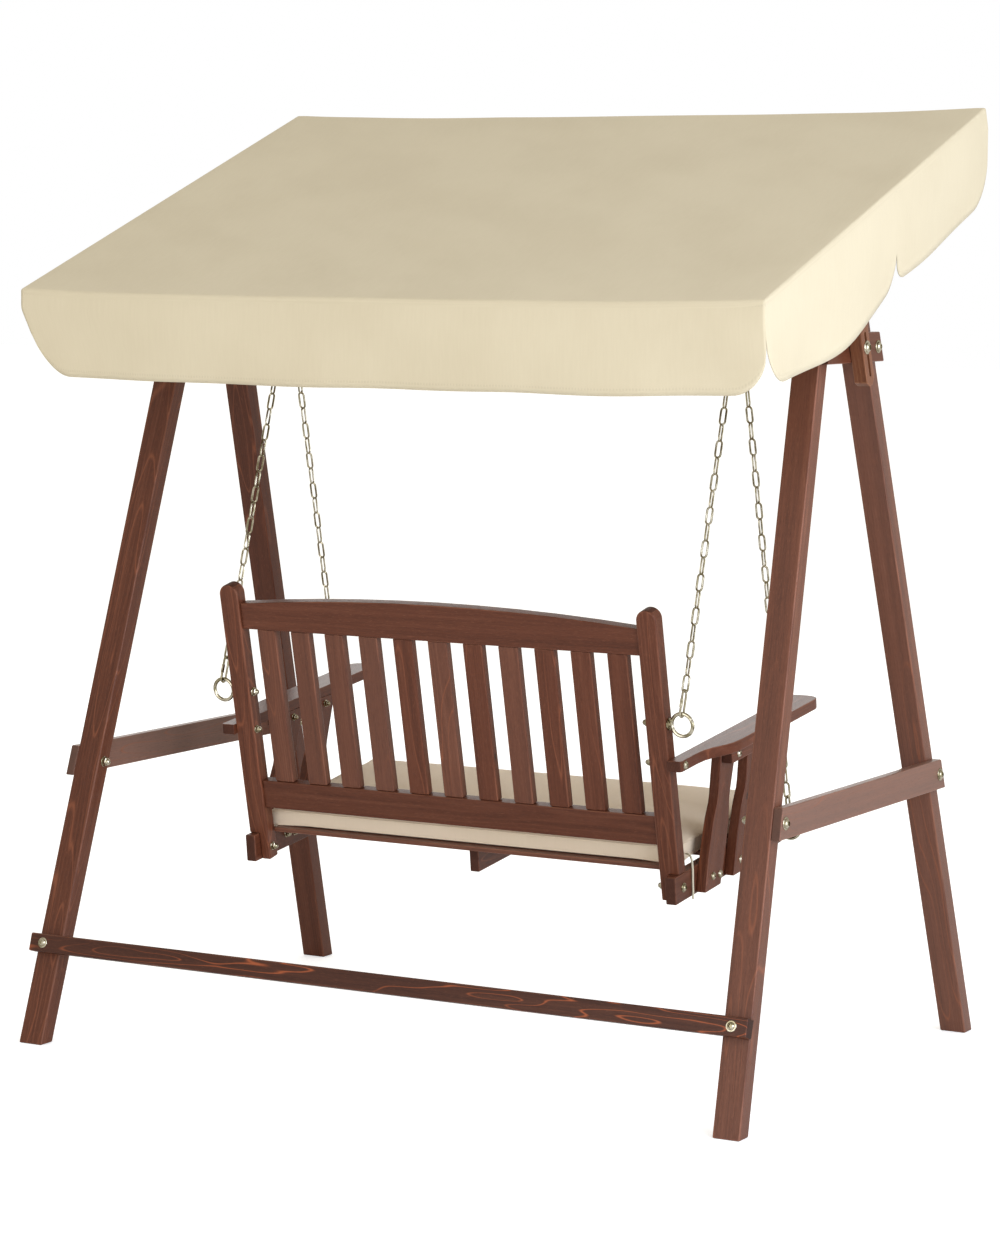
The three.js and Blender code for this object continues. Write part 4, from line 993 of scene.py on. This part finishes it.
def hang_place(base, outward, run, length, fall):
    """A point of a flap: it leaves the frame square, then hangs plumb in shallow waves."""
    v = (base.y - COVER_MIDDLE) / HALF_Y
    start = PLUMB.lerp(-Z, (1 - v) / 2).normalized()
    first = min(fall, DROP / 4)
    place = base + start * first + PLUMB * (fall - first) + corner_pull(base, fall)
    free = max(0.0, fall / DROP - 0.25) / 0.75
    waves = max(round(length / WAVE_LENGTH), 2)
    ends = min(1.0, min(run, length - run) / LOBE)
    swing = SWING * free * ends * math.sin(math.pi * waves * run / length) ** 2
    soft = SOFT * math.sin(math.pi * min(1.0, fall / DROP)) * ends
    slant = SLANT * ends * math.sin(9 * run - 26 * fall) * min(1.0, fall / 0.05)
    return place + outward * (soft - swing + slant)


print("cover shape ready")


# %% Sewing the cover
FOLD_SEAM, HEM_SEAM = (0.008, 0.012), (0.012, 0.006)  # distance and half width of the stitches
FOLD_ANGLE, FOLD_ROUND, CLOTH_THICK = math.radians(40), 0.004, 0.002
ROWS = 14


def extruded_flap(bm, verts, outward, drop_at, layers):
    """Hangs a flap from a run of border vertices and gives its flat area."""
    cloth_layer, seam_layer = layers
    bases = [vert.co.copy() for vert in verts]
    runs = [(base - bases[0]).length for base in bases]
    length = runs[-1]
    drops = [drop_at(run, length) for run in runs]
    for row in range(1, ROWS + 1):
        edges = [bm.edges.get(pair) for pair in zip(verts, verts[1:])]
        made = ops.extrude_edge_only(bm, edges=edges)
        fresh = [item for item in made["geom"] if isinstance(item, bmesh.types.BMVert)]
        verts = [next(v for v in fresh if (v.co - old.co).length < 1e-7) for old in verts]
        for vert, base, run, drop in zip(verts, bases, runs, drops):
            fall = row / ROWS * drop
            vert.co = hang_place(base, outward, run, length, fall)
            vert[cloth_layer] = Vector((run, fall, run))
            seams = ((fall, FOLD_SEAM), (drop - fall, HEM_SEAM))
            vert[seam_layer] = max(0.0, *(1 - abs(far - at) / width for far, (at, width) in seams))
    return sum((a + b) / 2 * (s - r) for a, b, r, s in zip(drops, drops[1:], runs, runs[1:]))


def sewn_cover():
    bm = bmesh.new()
    ops.create_grid(bm, x_segments=CELLS_ACROSS, y_segments=CELLS_ALONG, size=1)
    cloth_layer = bm.verts.layers.float_vector.new("cloth")
    seam_layer = bm.verts.layers.float.new("seam")
    front, right, back, left = borders = [], [], [], []
    for vert in bm.verts:
        u, v = vert.co.x, vert.co.y
        for border, out, along in ((front, -v, u), (right, u, v), (back, v, -u), (left, -u, -v)):
            if out > 0.999:
                border.append((along, vert))
        column = round((u + 1) / 2 * CELLS_ACROSS)
        row = round((v + 1) / 2 * CELLS_ALONG)
        vert.co = top_place(STEPS_ACROSS[column], STEPS_ALONG[row])
        vert[cloth_layer] = Vector((vert.co.x, vert.co.y, vert.co.x + vert.co.y))
    flaps = (
        (-Y, end_drop),
        (X, lambda run, length: side_drop(length - run, length)),
        (Y, end_drop),
        (-X, side_drop),
    )
    area = 2 * HALF_X * (COVER_BACK - COVER_FRONT)
    for border, flap in zip(borders, flaps):
        verts = [vert for _, vert in sorted(border, key=lambda pair: pair[0])]
        area += extruded_flap(bm, verts, *flap, (cloth_layer, seam_layer))
    rims = [v for v in bm.verts if v.is_boundary]
    ops.remove_doubles(bm, verts=rims, dist=2e-4)
    folds = [e for e in bm.edges if e.is_manifold and e.calc_face_angle() > FOLD_ANGLE]
    bevelled(bm, folds, FOLD_ROUND, 3)
    ops.recalc_face_normals(bm, faces=bm.faces[:])
    ops.transform(bm, matrix=AT_CANOPY, verts=bm.verts[:])
    return bm, area


cover_bm, cover_area = sewn_cover()
cover = finish_piece(
    "sewn_cover", cover_bm, canopy_cloth, "canopy", "canopy_cover", SOFT_PIECE
)
thick = cover.modifiers.new("cloth thickness", "SOLIDIFY")
thick.thickness = CLOTH_THICK
thick.offset = 0
print("cover:", len(cover.data.polygons), "faces,", round(cover_area, 2), "square metres")

# %% [markdown]
# ## The cushion
# The cushion is a slab of foam in a sewn cover. A slightly small box with rounded corners is
# covered in an even skin of small faces, and a pressure from inside blows it up like the foam
# would: the middle rises and the sides draw in. A limit keeps it from passing the seat slats,
# and where no slat holds it up, past the rearmost one, its corners droop a little.

# %% Cushion
CUSHION_X, CUSHION_REAR, CUSHION_DEPTH = 0.515, -0.057, 0.471
CUSHION_MIDDLE = CUSHION_REAR - CUSHION_DEPTH / 2
CUSHION_LOW, CUSHION_HEIGHT = 0.0706, 0.038
CORNER_ROUND, RIM_ROUND, SLACK = 0.013, 0.004, 0.005
SKIN_CELL, PRESSURE, FRAMES, MOST = 0.006, 4.0, 20, 0.004


def foam_slab():
    """A box with rounded upright corners and softly rounded rims, in the bench's frame."""
    bm = bmesh.new()
    made = ops.create_cube(bm, size=1)
    size = (2 * CUSHION_X - SLACK, CUSHION_DEPTH - SLACK, CUSHION_HEIGHT)
    ops.scale(bm, vec=size, verts=made["verts"])
    middle = (0, CUSHION_MIDDLE, CUSHION_LOW + CUSHION_HEIGHT / 2)
    ops.translate(bm, vec=middle, verts=bm.verts[:])
    upright = [e for e in bm.edges if abs(e.verts[0].co.z - e.verts[1].co.z) > 0.01]
    bevelled(bm, upright, CORNER_ROUND, 5)
    rims = [e for e in bm.edges if abs(e.verts[0].co.z - e.verts[1].co.z) < 1e-6]
    bevelled(bm, rims, RIM_ROUND, 3)
    return bm


def even_skin(bm):
    """The same shape with an even skin of small faces."""
    slab = placed("slab", mesh_from("slab", bm))
    remesh = slab.modifiers.new("even skin", "REMESH")
    remesh.mode = "VOXEL"
    remesh.voxel_size = SKIN_CELL
    skin = bpy.data.meshes.new_from_object(slab.evaluated_get(bpy.context.evaluated_depsgraph_get()))
    bpy.data.objects.remove(slab)
    return skin


def blown_up(mesh):
    """Lets a pressure fill the skin for a few frames, and caps how far each point moves."""
    soft = placed("soft", mesh)
    start = [v.co.copy() for v in mesh.vertices]
    cloth = soft.modifiers.new("filling", "CLOTH")
    cloth.settings.use_pressure = True
    cloth.settings.uniform_pressure_force = PRESSURE
    cloth.settings.effector_weights.gravity = 0
    cloth.settings.tension_stiffness = 30
    cloth.settings.compression_stiffness = 12
    cloth.settings.bending_stiffness = 1.5
    cloth.point_cache.frame_end = FRAMES
    for number in range(1, FRAMES + 1):
        scene.frame_set(number)
    filled = soft.evaluated_get(bpy.context.evaluated_depsgraph_get())
    ends = [v.co.copy() for v in filled.data.vertices]
    soft.modifiers.clear()
    scene.frame_set(1)
    for vert, first, last in zip(mesh.vertices, start, ends):
        move = last - first
        if move.length > MOST:
            move.length = MOST
        vert.co = first + move
    bpy.data.objects.remove(soft)


skin = even_skin(foam_slab())
blown_up(skin)
print("cushion skin:", len(skin.polygons), "faces")


# %% Cushion finish
CROWN, DIMPLE, DROOP = 0.009, 0.0012, 0.0095
DROOP_FROM_X, DROOP_FROM_REAR, DROOP_RUN = 0.40, 0.075, 0.06


def crowned(bm):
    """Raises the middle of the top, dimples it, and lets the rear corners droop past the slats."""
    for vert in bm.verts:
        x, y, z = vert.co
        u = min(1, abs(x) / CUSHION_X)
        v = min(1, abs(y - CUSHION_MIDDLE) / (CUSHION_DEPTH / 2))
        high = max(0.0, (z - CUSHION_LOW) / CUSHION_HEIGHT)
        crown = CROWN * (1 - u**4) * (1 - v**4)
        dimple = DIMPLE * math.sin(x * 46) * math.sin(y * 37) * (1 - min(u, v) ** 2)
        past_slat = min(1.0, max(0.0, (y - CUSHION_REAR + DROOP_FROM_REAR) / DROOP_RUN))
        outer = max(0.0, (abs(x) - DROOP_FROM_X) / (CUSHION_X - DROOP_FROM_X))
        droop = DROOP * past_slat**1.5 * outer**2
        vert.co.z = max(z + high * (crown + dimple), CUSHION_LOW) - droop
        vert.co.x = max(-CUSHION_X, min(CUSHION_X, x))


cushion_bm = bmesh.new()
cushion_bm.from_mesh(skin)
crowned(cushion_bm)
cloth_layer = cushion_bm.verts.layers.float_vector.new("cloth")
cushion_bm.verts.layers.float.new("seam")
for vert in cushion_bm.verts:
    vert[cloth_layer] = Vector((vert.co.x, vert.co.y + vert.co.z, vert.co.x + vert.co.y))
tree = BVHTree.FromBMesh(cushion_bm)
ops.transform(cushion_bm, matrix=AT_BENCH, verts=cushion_bm.verts[:])
cushion = finish_piece(
    "seat_cushion", cushion_bm, cushion_cloth, "bench", "cushion", SOFT_PIECE
)
round_off = cushion.modifiers.new("soft faces", "SUBSURF")
round_off.levels = round_off.render_levels = 1
print("cushion:", len(cushion.data.polygons), "faces")

# %% [markdown]
# ## Seams of the cushion
# A box cushion has two seams round it, where the side band meets the top and the underside.
# Points round the rim are dropped on to the finished cushion, so that the welts lie on it.


# %% Cushion seams
WELT_RADIUS, WELT_INSET, WELT_STEPS = 0.0016, 0.002, 160
SQUARENESS = 0.16  # 1 would draw an ellipse, 0 a rectangle


def squared(value):
    """A sine or cosine moved outwards, so that a circle becomes a rounded square."""
    return math.copysign(abs(value) ** SQUARENESS, value) if abs(value) > 1e-6 else 0.0


def rim_route(height):
    """Points of a rounded rectangle at one height, moved on to the cushion's surface."""
    route = []
    for angle in (FULL_TURN * step / WELT_STEPS for step in range(WELT_STEPS)):
        x = CUSHION_X * squared(math.cos(angle))
        y = CUSHION_MIDDLE + CUSHION_DEPTH / 2 * squared(math.sin(angle))
        route.append(AT_BENCH @ tree.find_nearest(Vector((x, y, height)))[0])
    return route


for seam_name, height in (
    ("upper", CUSHION_LOW + CUSHION_HEIGHT - WELT_INSET),
    ("lower", CUSHION_LOW + WELT_INSET),
):
    welt = tube_along(f"cushion_seam_{seam_name}", rim_route(height), WELT_RADIUS, True)
    welt.data.materials.append(cushion_cloth)
    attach(welt, "bench")
print("seams: 2")

# %% [markdown]
# ## Floor and light
# The floor and the world look white to the camera, and the floor keeps the swing's own shadow.
# A wide, slightly blue light from the rear left is the main one. A weaker one fills the rear
# faces, and a third in front gives the boards' front edges a faint sheen.

# %% Floor
FLOOR_REACH, FLOOR_AIR = 40, 0.0005
floor_bm = bmesh.new()
ops.create_grid(floor_bm, x_segments=1, y_segments=1, size=FLOOR_REACH)
floor = placed("floor", mesh_from("floor", floor_bm))
floor.location.z = -FLOOR_AIR
floor_material, floor_shader, w = new_material("pale floor")
seen = w.node("ShaderNodeLightPath", {}, "Is Camera Ray")
for slot, value in {
    "Base Color": (0.86, 0.86, 0.86),
    "Roughness": 0.9,
    "Specular IOR Level": 0.1,
    "Emission Color": seen.blend((0, 0, 0), (1, 1, 1)),
    "Emission Strength": 0.5,
}.items():
    w.feed(floor_shader.inputs[slot], value)
floor.data.materials.append(floor_material)
print("floor ready")

# %% Light
WORLD_COLOUR = (0.75, 0.73, 0.675)
LAMPS = [
    # name, place, height it aims at, size, power, colour
    ("left window", (-5.4, 2.4, 2.2), 0.9, (5.0, 4.0), 350, (0.76, 0.84, 1.0)),
    ("front sheen", (3.4, -5.7, 2.9), 0.9, (4.0, 3.0), 50, (1.0, 1.0, 1.0)),
    ("rear fill", (0.6, 6.8, 1.7), 1.2, (4.0, 3.0), 78, (0.96, 0.97, 1.0)),
]
world = bpy.data.worlds.new("studio")
scene.world = world
world.use_nodes = True
w = Wire(world.node_tree)
light_path = w.node("ShaderNodeLightPath", {}, "Is Camera Ray")
background = world.node_tree.nodes["Background"].inputs
w.feed(background["Color"], light_path.blend(WORLD_COLOUR, (1.0, 1.0, 1.0)))
background["Strength"].default_value = 1.0
for name, place, aim_z, size, power, colour in LAMPS:
    data = bpy.data.lights.new(name, "AREA")
    data.shape = "RECTANGLE"
    data.size, data.size_y = size
    data.energy = power
    data.color = colour
    lamp = placed(name, data)
    lamp.location = place
    lamp.rotation_mode = "QUATERNION"
    lamp.rotation_quaternion = (Z * aim_z - Vector(place)).to_track_quat("-Z", "Y")
scene.view_settings.view_transform = "Standard"
print("lights:", len(LAMPS))
